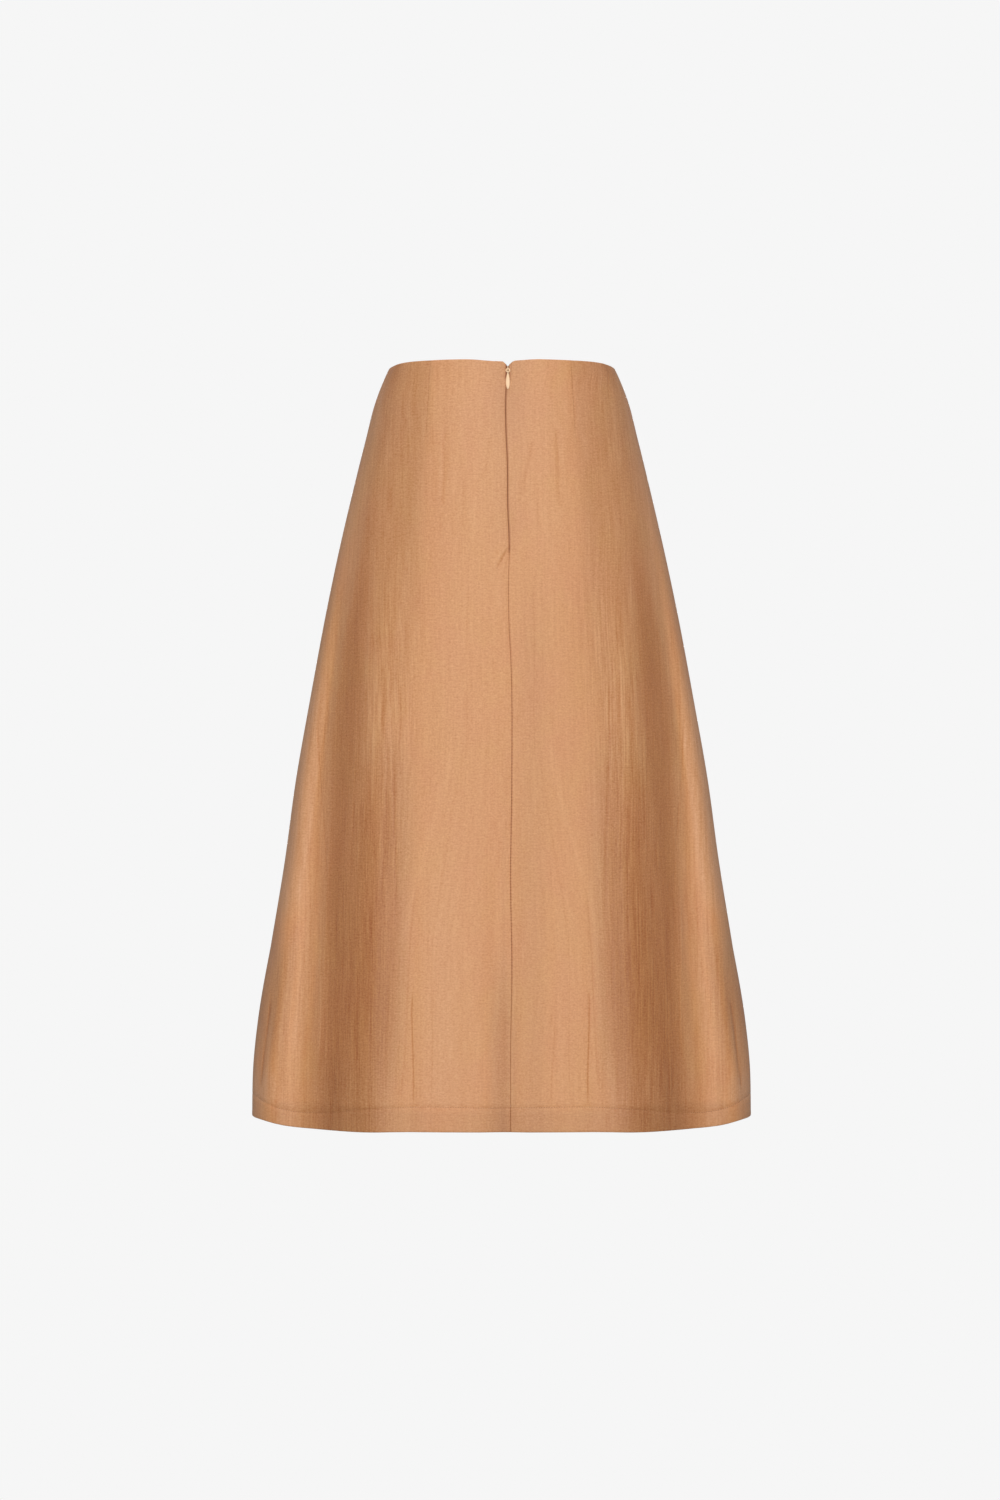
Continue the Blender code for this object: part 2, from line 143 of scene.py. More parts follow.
# Painted shade and painted light in the cloth's colour: a positive tone is painted shade, a negative one
# painted light. A flank is deepest at its place, a share of the half width, with a reach to each side.
# Inside it a fainter shelf runs in to its edge, sideways from the centre. A wing lies outside the flank,
# and then comes the side.
TONES = table(
    "drop place strength inner outer shelf edge wing side",
    (0.000, 0.900, 0.58, 0.200, 0.200, 0.46, 0.0738, 0.00, 0.34),
    (0.030, 0.885, 0.54, 0.200, 0.200, 0.43, 0.0758, 0.00, 0.06),
    (0.100, 0.860, 0.57, 0.200, 0.180, 0.45, 0.080, 0.00, 0.00),
    (0.160, 0.840, 0.60, 0.160, 0.170, 0.44, 0.084, 0.00, -0.10),
    (0.210, 0.810, 0.68, 0.120, 0.150, 0.38, 0.086, 0.00, 0.00),
    (0.250, 0.800, 0.84, 0.120, 0.130, 0.33, 0.087, 0.00, 0.10),
    (0.290, 0.800, 0.96, 0.145, 0.135, 0.30, 0.090, 0.00, 0.00),
    (0.330, 0.785, 0.98, 0.150, 0.155, 0.30, 0.095, 0.00, -0.20),
    (0.378, 0.780, 0.95, 0.180, 0.160, 0.26, 0.100, 0.00, -0.35),
    (0.440, 0.755, 0.97, 0.180, 0.135, 0.62, 0.099, 0.00, -0.45),
    (0.502, 0.745, 0.98, 0.160, 0.110, 0.78, 0.099, -0.10, -0.45),
    (0.564, 0.725, 1.06, 0.160, 0.110, 0.88, 0.103, -0.20, -0.30),
    (0.626, 0.690, 1.08, 0.160, 0.120, 1.00, 0.105, -0.22, 0.36),
    (0.690, 0.660, 1.10, 0.160, 0.140, 1.04, 0.109, -0.22, 0.52),
    (0.740, 0.655, 1.16, 0.140, 0.140, 0.90, 0.113, -0.10, 0.00),
    (0.765, 0.655, 1.16, 0.120, 0.135, 0.84, 0.118, -0.05, -0.40),
    (0.803, 0.660, 0.90, 0.120, 0.130, 0.60, 0.120, 0.00, -0.20),
)

# Where the shelf's edge blurs and the wing and side tones lie. More painted shade: a band near the side on
# the lower half, and the back's right half, as light falls a little from the left. The hem band below its
# stitches is deepened as well. PALEST and DEEPEST bound the painted tone.
SHELF_BLUR_DROPS, SHELF_BLUR = (0, 0.04, 0.10, 0.45), (0.005, 0.010, 0.020, 0.042)
WING_START, WING_REACH = 0.02, 0.07
ROLL_PLACE, ROLL_REACH, ROLL_DROPS, ROLL_TONE = 0.875, 0.045, (0.40, 0.48), 0.18
SIDE_START, SIDE_FULL = 0.86, 0.91
HEM_TONE, HEM_BLUR = 0.34, 0.002
RIGHT_TONE, RIGHT_REACH, RIGHT_DROPS = 0.06, 0.04, (0.20, 0.30)
PALEST, DEEPEST = -0.40, 1.20

# A patch of painted shade, or of painted light where its tone is negative, grows from none at one drop to
# its full tone at another.
BOTH = 0
PATCHES = table(
    "face place reach start_drop full_drop tone",
    (BACK, 0.0300, 0.0300, 0.20, 0.30, 0.17),
    (BACK, -0.0450, 0.0450, 0.20, 0.30, -0.08),
    (BACK, 0.0070, 0.0340, 0.21, 0.18, 0.15),
    (BACK, 0.0070, 0.0340, 0.10, 0.03, 0.22),
    (BACK, 0.0005, 0.0210, 0.60, 0.69, 0.60),
    (BACK, 0.0020, 0.0060, 0.40, 0.50, 0.12),
    (BOTH, 0.0660, 0.0340, 0.48, 0.58, -0.13),
    (BOTH, -0.0660, 0.0340, 0.48, 0.58, -0.13),
)

# Ripples are strongest at the flanks of the flutes, and weaker at the upper sides and the wings. Shares of
# the half width and drops run from none to full.
RIPPLE_LEAST, RIPPLE_FLANK, RIPPLE_UPPER, RIPPLE_WING = 0.16, 0.84, 0.40, 0.40
FLANK_PLACE, FLANK_REACH, FLANK_DROPS = 0.60, 0.24, (0.16, 0.36)
UPPER_SHARES, UPPER_DROPS = (0.45, 0.80), (0.45, 0.10)
WING_SHARES, WING_DROPS = (0.76, 0.86), (0.25, 0.40)
FAN_PLACE, FAN_REACH, FAN_DROPS, FAN_BEND = 0.24, 0.26, (0.34, 0.68), 0.34

# Random unevenness, with so many waves in a half width and in a metre down.
SWELLS = table(
    "across down start height in_ripples",
    (26, 5.5, 31, 0.00020, True),
    (47, 8.0, 17, 0.00012, True),
    (6, 6.0, 11, 0.00070, False),
)
SWELL_LEAST, SWELL_FULL, NOISE_CELLS = 0.3, 0.2, 64
FLAT_SIDE = 0.08

# A crease is a soft trough with a lip on its outer side. Places are sideways from the centre. The lip's
# place and width are shares of the crease's width.
LIP_PLACE, LIP_WIDTH = 1.9, 1.3
CREASES = table(
    "face top bottom place_top place_bottom sway width depth lip",
    (BACK, 0.066, 0.160, -0.0572, -0.0622, 0.0006, 0.0030, 0.00030, 0.7),
    (BACK, 0.070, 0.146, 0.0590, 0.0606, -0.0006, 0.0030, 0.00026, 0.7),
    (BACK, 0.124, 0.188, -0.0390, -0.0395, 0.0008, 0.0034, 0.00020, 0.5),
    (BACK, 0.100, 0.156, 0.0200, 0.0240, 0.0006, 0.0034, 0.00020, 0.5),
    (BACK, 0.196, 0.226, 0.0085, -0.0060, 0.0000, 0.0026, 0.00100, 0.7),
    (BACK, 0.199, 0.216, 0.0100, 0.0155, 0.0000, 0.0026, 0.00060, 0.5),
    (BACK, 0.560, 0.803, -0.0720, -0.0740, 0.0010, 0.0040, 0.00030, 0.4),
    (BACK, 0.600, 0.803, -0.0520, -0.0540, 0.0010, 0.0040, 0.00025, 0.4),
    (BACK, 0.500, 0.803, -0.0900, -0.0930, 0.0012, 0.0050, 0.00045, 0.6),
    (BACK, 0.520, 0.803, 0.0900, 0.0930, -0.0012, 0.0050, 0.00045, 0.6),
    (BACK, 0.640, 0.803, 0.1080, 0.1110, 0.0010, 0.0045, 0.00035, 0.4),
    (BACK, 0.420, 0.803, -0.0080, -0.0110, 0.0015, 0.0120, 0.00110, 0.2),
    (BACK, 0.550, 0.735, -0.1850, -0.1930, 0.0010, 0.0045, -0.00060, 0.5),
    (BACK, 0.550, 0.735, 0.1850, 0.1930, -0.0010, 0.0045, -0.00060, 0.5),
    (BACK, 0.620, 0.790, -0.2370, -0.2560, 0.0010, 0.0060, 0.00200, 0.5),
    (BACK, 0.620, 0.790, 0.2370, 0.2560, -0.0010, 0.0060, 0.00200, 0.5),
    (FRONT, 0.110, 0.190, -0.0480, -0.0520, 0.0012, 0.0034, 0.00050, 0.4),
    (FRONT, 0.095, 0.200, 0.0580, 0.0600, -0.0014, 0.0036, 0.00060, 0.5),
    (FRONT, 0.520, 0.803, -0.0900, -0.0960, 0.0012, 0.0055, 0.00060, 0.5),
    (FRONT, 0.560, 0.803, 0.0820, 0.0860, -0.0014, 0.0060, 0.00070, 0.5),
    (FRONT, 0.640, 0.803, 0.0100, 0.0060, 0.0010, 0.0060, 0.00050, 0.4),
)

# A pressed line is a fine mark at both sides of the centre, or at one side only where both is 0. It sways
# sideways once over its length. Positive strength is a groove, negative a pale ridge, and pricks breaks it up
# as a line of stitches does. Each line is painted into the colour as well as pressed into the height: the
# groove as painted shade, the pale ridge as painted light. Mirrored lines lie a little further out on
# the left.
UNEVEN_SIDES = 0.0012
LINE_FADE, PRICK_PITCH = 0.12, 0.0032
LINE_COLUMNS = "top bottom place_top place_bottom sway width strength pricks both"
BACK_LINES = table(
    LINE_COLUMNS,
    (0.001, 0.082, 0.0742, 0.0785, 0.0000, 0.00060, 0.40, 0.8, 1),
    (0.070, 0.158, 0.0572, 0.0622, 0.0006, 0.00220, 0.36, 0.0, 1),
    (0.078, 0.128, -0.0120, -0.0180, 0.0004, 0.00200, 0.24, 0.0, 0),
    (0.084, 0.148, 0.0322, 0.0206, 0.0006, 0.00220, 0.36, 0.0, 0),
    (0.198, 0.220, 0.0072, -0.0044, 0.0000, 0.00110, 0.50, 0.0, 0),
    (0.199, 0.216, 0.0030, -0.0090, 0.0000, 0.00240, -0.22, 0.0, 0),
    (0.200, 0.232, 0.0080, 0.0010, 0.0000, 0.00120, 0.24, 0.0, 0),
    (0.128, 0.182, 0.0385, 0.0395, 0.0004, 0.00120, 0.18, 0.0, 1),
    (0.235, 0.430, 0.0335, 0.0370, 0.0010, 0.00110, 0.20, 0.0, 1),
    (0.410, 0.600, 0.0395, 0.0700, 0.0000, 0.00130, 0.18, 0.0, 1),
    (0.400, 0.620, 0.0500, 0.1040, -0.0020, 0.00320, -0.20, 0.0, 1),
    (0.290, 0.480, 0.1260, 0.1340, 0.0006, 0.00500, -0.38, 0.0, 1),
    (0.310, 0.600, 0.1140, 0.1080, 0.0006, 0.00150, 0.36, 0.0, 1),
    (0.585, 0.790, 0.1120, 0.1240, 0.0006, 0.00180, 0.24, 0.0, 1),
    (0.365, 0.560, 0.1940, 0.1815, 0.0008, 0.00100, 0.30, 0.0, 1),
    (0.590, 0.778, 0.0700, 0.0722, 0.0008, 0.00080, 0.20, 0.0, 1),
    (0.655, 0.778, 0.0915, 0.0905, 0.0006, 0.00090, 0.70, 0.0, 1),
    (0.545, 0.780, 0.0880, 0.1040, 0.0012, 0.00130, 0.34, 0.0, 1),
    (0.690, 0.772, 0.0545, 0.0510, 0.0006, 0.00090, 0.40, 0.0, 0),
    (0.700, 0.790, 0.1045, 0.1060, 0.0006, 0.00070, 0.20, 0.0, 1),
    (0.560, 0.730, 0.1880, 0.1900, 0.0008, 0.00090, -0.40, 0.0, 1),
    (0.725, 0.799, 0.1725, 0.1760, 0.0000, 0.00260, 0.34, 0.0, 1),
    (0.670, 0.768, 0.2415, 0.2535, 0.0000, 0.00140, 0.80, 0.0, 1),
)
FRONT_LINES = table(
    LINE_COLUMNS,
    (0.001, 0.097, 0.0678, 0.0700, 0.0000, 0.00055, 0.40, 0.8, 1),
    (0.640, 0.778, 0.0860, 0.0885, 0.0006, 0.00080, 0.40, 0.0, 1),
)

DARTS = table(
    "face place_top place_tip tip_drop intake",
    (BACK, -0.0750, -0.0785, 0.080, 0.0095),
    (BACK, 0.0750, 0.0785, 0.080, 0.0095),
    (FRONT, -0.0680, -0.0700, 0.095, 0.0085),
    (FRONT, 0.0680, 0.0700, 0.095, 0.0085),
)
VALLEY_DEPTH, VALLEY_WIDTH, VALLEY_END = 0.00045, 0.0028, 1.15
DIMPLE_DEPTH, DIMPLE_WIDTH, DIMPLE_PLACE, DIMPLE_LENGTH = 0.00050, 0.0075, 1.05, 0.16

# Radii of the cloth's bends round its edges, and how finely a turning is divided.
WAIST_ROLL, HEM_ROLL, SIDE_ROLL, ZIP_ROLL, SEAM_ROLL = 0.0009, 0.0011, 0.0008, 0.00075, 0.00040
FLAT_STEPS, BEND_STEPS, HEM_STEPS = 4, 8, 8
TURN = FLAT_STEPS + BEND_STEPS + 1
BESIDE_SEAM = (0.0012, 0.0018, 0.0025, 0.0033, 0.0043, 0.0055, 0.0070)
STITCH_ROWS, STITCH_ROOM, STITCH_GROOVE = 0.0008, 0.045, 0.00032

# ---- zip, in metres ----------------------------------------------

BAIL_DROP, BAIL_RADIUS, BAIL_WIRE, BAIL_OUT = 0.0106, 0.0021, 0.00055, 0.0006
HINGE_OUT = 0.0011
RING_RADIUS, RING_WIRE = 0.0018, 0.00068
TAB_LENGTH, TAB_WIDTH, TAB_FULLNESS, TAB_SECTION = 0.0188, 0.0041, 1.35, (0.85, 0.55)
SLIDER_WIDTH, SLIDER_THICKNESS, SLIDER_HEIGHT = 0.0060, 0.0034, 0.0072
SLIDER_INSET, SLIDER_BELOW_BAIL, SLIDER_PLATE = 0.0021, 0.0018, 0.0011
CORE_WIDTH, CORE_THICKNESS, CORE_HEIGHT = SLIDER_WIDTH * 0.42, SLIDER_THICKNESS * 0.8, SLIDER_HEIGHT * 0.78
CORE_RISE = SLIDER_HEIGHT * 0.33
NECK_INSET, NECK_WIDTH, NECK_HEIGHT = 0.0004, 0.0011, 0.0052
TAPE_START, TAPE_END, TAPE_WIDTH = 0.0056, 0.2220, 0.0125
COIL_START, COIL_END = 0.0166, 0.2095
COIL_MIDDLE, COIL_REACH, COIL_DEPTH, COIL_BEHIND = 0.00085, 0.0010, 0.00058, 0.00262
COIL_SECTION, COIL_LEAN = (0.6, 0.8), 0.18

# A tape's inner edge, sideways from the seam, and how far the tape lies behind the cloth's face.
TAPE_LINES = table(
    "drop inner behind",
    (TAPE_START, 0.0012, 0.00268),
    (0.0080, 0.0030, 0.00268),
    (0.0161, 0.0034, 0.00268),
    (0.0286, 0.00035, 0.00150),
)

# ---- the cloth's form --------------------------------------------


def smooth(share):
    """A share with soft ends, as smoothstep has them."""
    return share * share * (3 - 2 * share)


def ramp(value, start, full):
    """0 at the start, 1 at the full value, straight between and held outside them."""
    return np.clip((value - start) / (full - start), 0, 1)


def bell(distance, width):
    """A gaussian of a distance."""
    return np.exp(-((distance / width) ** 2))


def table_value(rows, column, at):
    """A column of a table at any value of its first column: a cubic through its rows with centred slopes."""
    knots = np.array([row[0] for row in rows])
    value = np.array([getattr(row, column) for row in rows])
    slope = np.gradient(value, knots)
    at = np.clip(at, knots[0], knots[-1])
    i = np.clip(np.searchsorted(knots, at, side="right") - 1, 0, len(knots) - 2)
    span = knots[i + 1] - knots[i]
    t = (at - knots[i]) / span
    start = value[i] * (1 + 2 * t) * (1 - t) ** 2 + slope[i] * span * t * (1 - t) ** 2
    end = value[i + 1] * t**2 * (3 - 2 * t) + slope[i + 1] * span * t**2 * (t - 1)
    return start + end


def hump(distance, reach):
    """1 in the middle, falling to 0 at the reach, as a squared cosine."""
    t = np.clip(np.abs(distance) / reach, 0, 1)
    return np.cos(t * math.pi / 2) ** 2


def fold_push(fold, share, drop):
    """How far a flute pushes the cloth in: a squared cosine across, deepening fast and then slowly."""
    down = ramp(drop, fold.start_drop, LENGTH)
    middle = fold.place_at_start + (fold.place_at_hem - fold.place_at_start) * down
    away = (share - middle) * (1 if fold.place_at_hem > 0 else -1)
    outer_reach = fold.outer_reach * (1 - np.abs(middle))
    reach = np.where(away > 0, outer_reach, fold.inner_reach)
    return fold.depth * (1 - (1 - down) ** FOLD_GROWTH) * hump(away, reach)


def surface(angle, drop):
    """The cloth's face: a superellipse at each drop, with the flutes pushed in."""
    half_width = table_value(SECTIONS, "half_width", drop)
    squareness = table_value(SECTIONS, "squareness", drop)
    at_back = np.cos(angle) > 0
    back, front = table_value(SECTIONS, "back_depth", drop), table_value(SECTIONS, "front_depth", drop)
    depth = np.where(at_back, back, front)
    across = (np.abs(np.sin(angle)) / half_width) ** squareness
    along = (np.abs(np.cos(angle)) / depth) ** squareness
    radius = (across + along) ** (-1 / squareness)
    x = radius * np.sin(angle)
    y = -radius * np.cos(angle)
    for fold in FOLDS:
        push = fold_push(fold, x / half_width, drop)
        y = y - np.where(at_back == (fold.face == BACK), fold.face * push, 0)
    return np.stack([x, y, -drop + 0 * x], axis=-1)


def outward(angle, drop):
    """The face's unit normal, from its slopes round and down."""
    step = 1e-4
    round_it = surface(angle + step, drop) - surface(angle - step, drop)
    down_it = surface(angle, drop + step) - surface(angle, drop - step)
    normal = np.cross(down_it, round_it)
    return normal / np.linalg.norm(normal, axis=-1, keepdims=True)


def seam_side(drop):
    """Sideways place of the centre back seam."""
    return table_value(CENTRE_BACK_SEAM, "side", drop)


def seam_gap(drop):
    """How far the back panels are apart: wide at the slider's neck, then narrow, then a sewn seam."""
    stops = (0, ZIP_NECK_DROP, ZIP_CLOSED_DROP, ZIP_OPENING, ZIP_OPENING + ZIP_END_RUN)
    gaps = (ZIP_NECK_GAP, ZIP_NECK_GAP, ZIP_CLOSED_GAP, ZIP_CLOSED_GAP, SEWN_GAP)
    return np.interp(drop, stops, gaps)


def angle_beside_seam(drop, distance):
    """The angle of a place at a sideways distance from the centre back seam."""
    return np.arctan2(seam_side(drop) + distance, table_value(SECTIONS, "back_depth", drop))


def angle_of_place(face, place, drop):
    """The angle where the bare superellipse has a given sideways place, on the back or the front."""
    half_width = table_value(SECTIONS, "half_width", drop)
    squareness = table_value(SECTIONS, "squareness", drop)
    depth = table_value(SECTIONS, "back_depth" if face == BACK else "front_depth", drop)
    out = depth * (1 - np.abs(place / half_width) ** squareness) ** (1 / squareness)
    angle = np.arctan2(place, out)
    return angle if face == BACK else math.pi - angle


def angle_from_side(angle):
    """How far round a place is from the nearer side seam."""
    return np.abs(np.abs(angle - 2 * math.pi * (angle > math.pi)) - math.pi / 2)


def waist_edge(angle):
    """Drop of the waist edge."""
    from_side = angle_from_side(angle)
    drop = SIDE_DIP * hump(from_side, SIDE_DIP_SPREAD) + BACK_DIP * hump(angle, BACK_DIP_SPREAD)
    from_seam = SECTIONS[0].back_depth * np.tan(np.clip(angle, -1, 1)) - seam_side(0)
    width = np.where(from_seam < 0, LEFT_CORNER, RIGHT_CORNER)
    corner = np.clip(1 - (np.abs(from_seam) - ZIP_NECK_GAP / 2) / width, 0, 1)
    return drop + CORNER_DIP * corner**2


def hem_edge(angle):
    """Drop of the hem."""
    from_side = angle_from_side(angle)
    sag = HEM_SAG * hump(from_side - HEM_SAG_PLACE, HEM_SAG_SPREAD)
    from_level = np.maximum(from_side - HEM_SIDE_LEVEL, 0)
    return LENGTH + sag - HEM_SIDE_LIFT * hump(from_level, HEM_SIDE_SPREAD)


def hem_height(angle):
    """Height of the hem's line of stitches above the hem."""
    return table_value(HEM_LINE, "height", np.degrees(angle_from_side(angle)))


def soft_noise(across, down, seed):
    """Smooth random heights from -1 to 1: values on a whole-number grid, blended with smoothstep weights."""
    values = np.random.RandomState(seed).uniform(-1, 1, (NOISE_CELLS, NOISE_CELLS))
    i, j = np.floor(across).astype(int), np.floor(down).astype(int)
    s, t = smooth(across - i), smooth(down - j)
    steps = ((0, 0), (1, 0), (0, 1), (1, 1))
    corner = [values[(i + a) % NOISE_CELLS, (j + b) % NOISE_CELLS] for a, b in steps]
    top = corner[0] + (corner[1] - corner[0]) * s
    bottom = corner[2] + (corner[3] - corner[2]) * s
    return top + (bottom - top) * t


def crease_relief(face, place, drop):
    """Height of the named creases: a gaussian trough with a lower gaussian lip, fading at both ends."""
    height = np.zeros_like(place)
    for crease in CREASES:
        if crease.face != face:
            continue
        t = (drop - crease.top) / (crease.bottom - crease.top)
        middle = crease.place_top + (crease.place_bottom - crease.place_top) * np.clip(t, 0, 1)
        middle = middle + crease.sway * np.sin(2 * math.pi * t)
        to_hem = crease.bottom >= LENGTH
        fade = np.clip(t * 3, 0, 1) if to_hem else np.sin(np.clip(t, 0, 1) * math.pi)
        away = (place - middle) * np.sign(crease.place_bottom)
        lip = crease.lip * bell(away - LIP_PLACE * crease.width, LIP_WIDTH * crease.width)
        height = height + crease.depth * fade**0.7 * (lip - bell(away, crease.width))
    return height


def dart_relief(face, place, drop):
    """Height round the darts: a soft valley that ends in a small dimple."""
    height = np.zeros_like(place)
    for dart in DARTS:
        if dart.face != face:
            continue
        t = drop / dart.tip_drop
        away = place - dart.place_top - (dart.place_tip - dart.place_top) * t
        valley = VALLEY_DEPTH * bell(away, VALLEY_WIDTH) * np.clip(VALLEY_END - t, 0, 1) ** 0.5
        dimple = DIMPLE_DEPTH * bell(away, DIMPLE_WIDTH) * bell(t - DIMPLE_PLACE, DIMPLE_LENGTH)
        height = height - valley - dimple
    return height


def ripple_mask(place, half_width, drop):
    """How strongly the cloth is rippled by its own weight."""
    share = np.abs(place) / half_width
    flank = RIPPLE_FLANK * hump(share - FLANK_PLACE, FLANK_REACH) * ramp(drop, *FLANK_DROPS)
    upper = RIPPLE_UPPER * ramp(share, *UPPER_SHARES) * ramp(drop, *UPPER_DROPS)
    wing = RIPPLE_WING * ramp(share, *WING_SHARES) * ramp(drop, *WING_DROPS)
    return np.clip(RIPPLE_LEAST + flank + upper + wing, 0, 1)


def fan(across, place, half_width, drop):
    """Where a streak through a point starts: below the hips the streaks bend outward between the flutes."""
    bend = smooth(ramp(drop, *FAN_DROPS)) * hump(np.abs(place) / half_width - FAN_PLACE, FAN_REACH)
    return across * (1 - FAN_BEND * bend)


def relief(face, place, half_width, drop):
    """All the low relief of the cloth: creases, darts and random unevenness. The side seams lie flat."""
    share = place / half_width
    rippled, plain = ripple_mask(place, half_width, drop), np.clip(drop / SWELL_FULL, SWELL_LEAST, 1)
    height = crease_relief(face, place, drop) + dart_relief(face, place, drop)
    for seed, swell in enumerate(SWELLS, 3 if face == BACK else 8):
        noise = soft_noise(share * swell.across + swell.start, drop * swell.down, seed)
        height = height + swell.height * noise * (rippled if swell.in_ripples else plain)
    from_side = np.sqrt(np.clip(1 - share**2, 0, 1))
    return height * smooth(ramp(from_side, 0, FLAT_SIDE))


def shade_mask(face, place, half_width, drop):
    """Painted shade and painted light: how much the cloth's own colour is deepened, or paled where negative.

    It stands in for shade that light alone gives the cloth too little of.
    """
    share = np.abs(place) / half_width
    strength, middle, inner, outer, shelf, edge, wing, side = (
        table_value(TONES, column, drop)
        for column in ("strength", "place", "inner", "outer", "shelf", "edge", "wing", "side")
    )
    away = share - middle
    flank = strength * hump(away, np.where(away < 0, inner, outer))
    blur = np.interp(drop, SHELF_BLUR_DROPS, SHELF_BLUR)
    rise = smooth(np.clip((np.abs(place) - edge) / blur + 0.5, 0, 1))
    tone = np.maximum(flank, shelf * rise * np.clip(1 - away / outer, 0, 1))
    tone = tone + wing * hump(away - outer - WING_START, WING_REACH)
    tone = tone + side * ramp(share, SIDE_START, SIDE_FULL)
    tone = tone + ROLL_TONE * hump(share - ROLL_PLACE, ROLL_REACH) * ramp(drop, *ROLL_DROPS)
    stitches = LENGTH - hem_height(0)
    tone = tone + HEM_TONE * ramp(drop, stitches - HEM_BLUR, stitches + HEM_BLUR)
    if face == BACK:
        tone = tone + RIGHT_TONE * ramp(place, 0, RIGHT_REACH) * ramp(drop, *RIGHT_DROPS)
    for patch in PATCHES:
        if patch.face in (face, BOTH):
            spread = hump(place - patch.place, patch.reach) * ramp(drop, patch.start_drop, patch.full_drop)
            tone = tone + patch.tone * spread
    return np.clip(tone, PALEST, DEEPEST)


# ---- meshes ------------------------------------------------------


def grid_faces(rows, columns, wrap_rows=False, wrap_columns=False):
    """Quads of a grid of points, closed round either way where asked."""
    corner = np.arange(rows * columns).reshape(rows, columns)
    if wrap_rows:
        corner = np.concatenate([corner, corner[:1]])
    if wrap_columns:
        corner = np.concatenate([corner, corner[:, :1]], axis=1)
    quads = np.stack([corner[:-1, :-1], corner[1:, :-1], corner[1:, 1:], corner[:-1, 1:]], axis=-1)
    return quads.reshape(-1, 4)


def new_piece(name, points, faces, body, slot, finish):
    """An object from points and quads, riding on a body, with the given finish; its slot is not used."""
    points = np.ascontiguousarray(points.reshape(-1, 3), dtype=np.float32)
    mesh = bpy.data.meshes.new(name)
    mesh.vertices.add(len(points))
    mesh.vertices.foreach_set("co", points.reshape(-1))
    mesh.loops.add(faces.size)
    mesh.loops.foreach_set("vertex_index", faces.reshape(-1).astype(np.int32))
    mesh.polygons.add(len(faces))
    mesh.polygons.foreach_set("loop_start", np.arange(0, faces.size, 4, dtype=np.int32))
    mesh.update(calc_edges=True)
    mesh.shade_smooth()
    if mesh.validate():
        raise RuntimeError(f"{name} has faces that Blender had to mend")
    piece = bpy.data.objects.new(name, mesh)
    bpy.context.scene.collection.objects.link(piece)
    mesh.materials.append(finish)
    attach(piece, body)
    return piece


def set_cut_map(piece, across, down, faces):
    """The piece's own map, in metres along the cloth's threads."""
    layer = piece.data.uv_layers.new(name="cut")
    flat = np.stack([across.reshape(-1), down.reshape(-1)], axis=-1)[faces.reshape(-1)]
    layer.uv.foreach_set("vector", flat.reshape(-1).astype(np.float32))


def set_mark(piece, name, values):
    """A number at each point of the piece, for its finish to read."""
    mark = piece.data.attributes.new(name, "FLOAT", "POINT")
    mark.data.foreach_set("value", values.reshape(-1).astype(np.float32))


def close_poles(piece):
    """Merges the points that meet at a piece's poles and ends."""
    closed = bmesh.new()
    closed.from_mesh(piece.data)
    bmesh.ops.remove_doubles(closed, verts=closed.verts, dist=POLE_SIZE)
    closed.to_mesh(piece.data)
    closed.free()


def thicken(piece, thickness):
    """Gives a sheet its thickness on its wrong side."""
    wall = piece.modifiers.new("Thickness", "SOLIDIFY")
    wall.thickness = thickness
    wall.offset = -1


def unit(vectors):
    """Vectors made one long."""
    return vectors / np.linalg.norm(vectors, axis=-1, keepdims=True)


def round_turn(count):
    """Angles evenly round a full turn."""
    return np.linspace(0, 2 * math.pi, count, endpoint=False)


def signed_power(value, power):
    """A power of a number's size, with its sign kept."""
    return np.sign(value) * np.abs(value) ** power


def tube_points(path, across, radius, sides):
    """Rings round paths: at each point a circle of the radius there, in the plane of across and its normal.

    path and across are (..., points, 3) and radius is (..., points).
    """
    along = unit(np.gradient(path, axis=-2))
    side = unit(across - along * (across * along).sum(axis=-1, keepdims=True))
    up = np.cross(along, side)
    turn = round_turn(sides)[:, None]
    ring = side[..., None, :] * np.cos(turn) + up[..., None, :] * np.sin(turn)
    return path[..., None, :] + ring * radius[..., None, None]


def many_grids(points, wrap_rows=False, wrap_columns=True):
    """Points and quads of many equal grids, given as (count, rows, columns, 3)."""
    count, rows, columns = points.shape[:3]
    one = grid_faces(rows, columns, wrap_rows, wrap_columns)
    faces = one[None] + (np.arange(count) * rows * columns)[:, None, None]
    return points.reshape(-1, 3), faces.reshape(-1, 4)


def joined(*shapes):
    """Several (points, quads) shapes as one."""
    points, faces, start = [], [], 0
    for shape_points, shape_faces in shapes:
        points.append(shape_points.reshape(-1, 3))
        faces.append(shape_faces + start)
        start += len(points[-1])
    return np.concatenate(points), np.concatenate(faces)


# ---- cloth panels ------------------------------------------------

# Between the turnings a panel's grid has so many columns and rows. Its straight grain runs down one column.
PANELS = table(
    "name node face side columns rows grain_column",
    ("back_left_cloth", "back_left_panel", BACK, -1, 134, 266, -TURN),
    ("back_right_cloth", "back_right_panel", BACK, 1, 134, 266, TURN - 1),
    ("front_cloth", "front_panel", FRONT, 0, 204, 184, TURN + 102),
)
WAIST_ROW, HEM_ROW, ALLOWANCE_LIFT = TURN - 1, -16, 0.5
FLAP_TOP, FLAP_BEHIND, FLAP_SPREAD, FLAP_TAPER = 0.016, 0.00030, 0.0004, 1.02


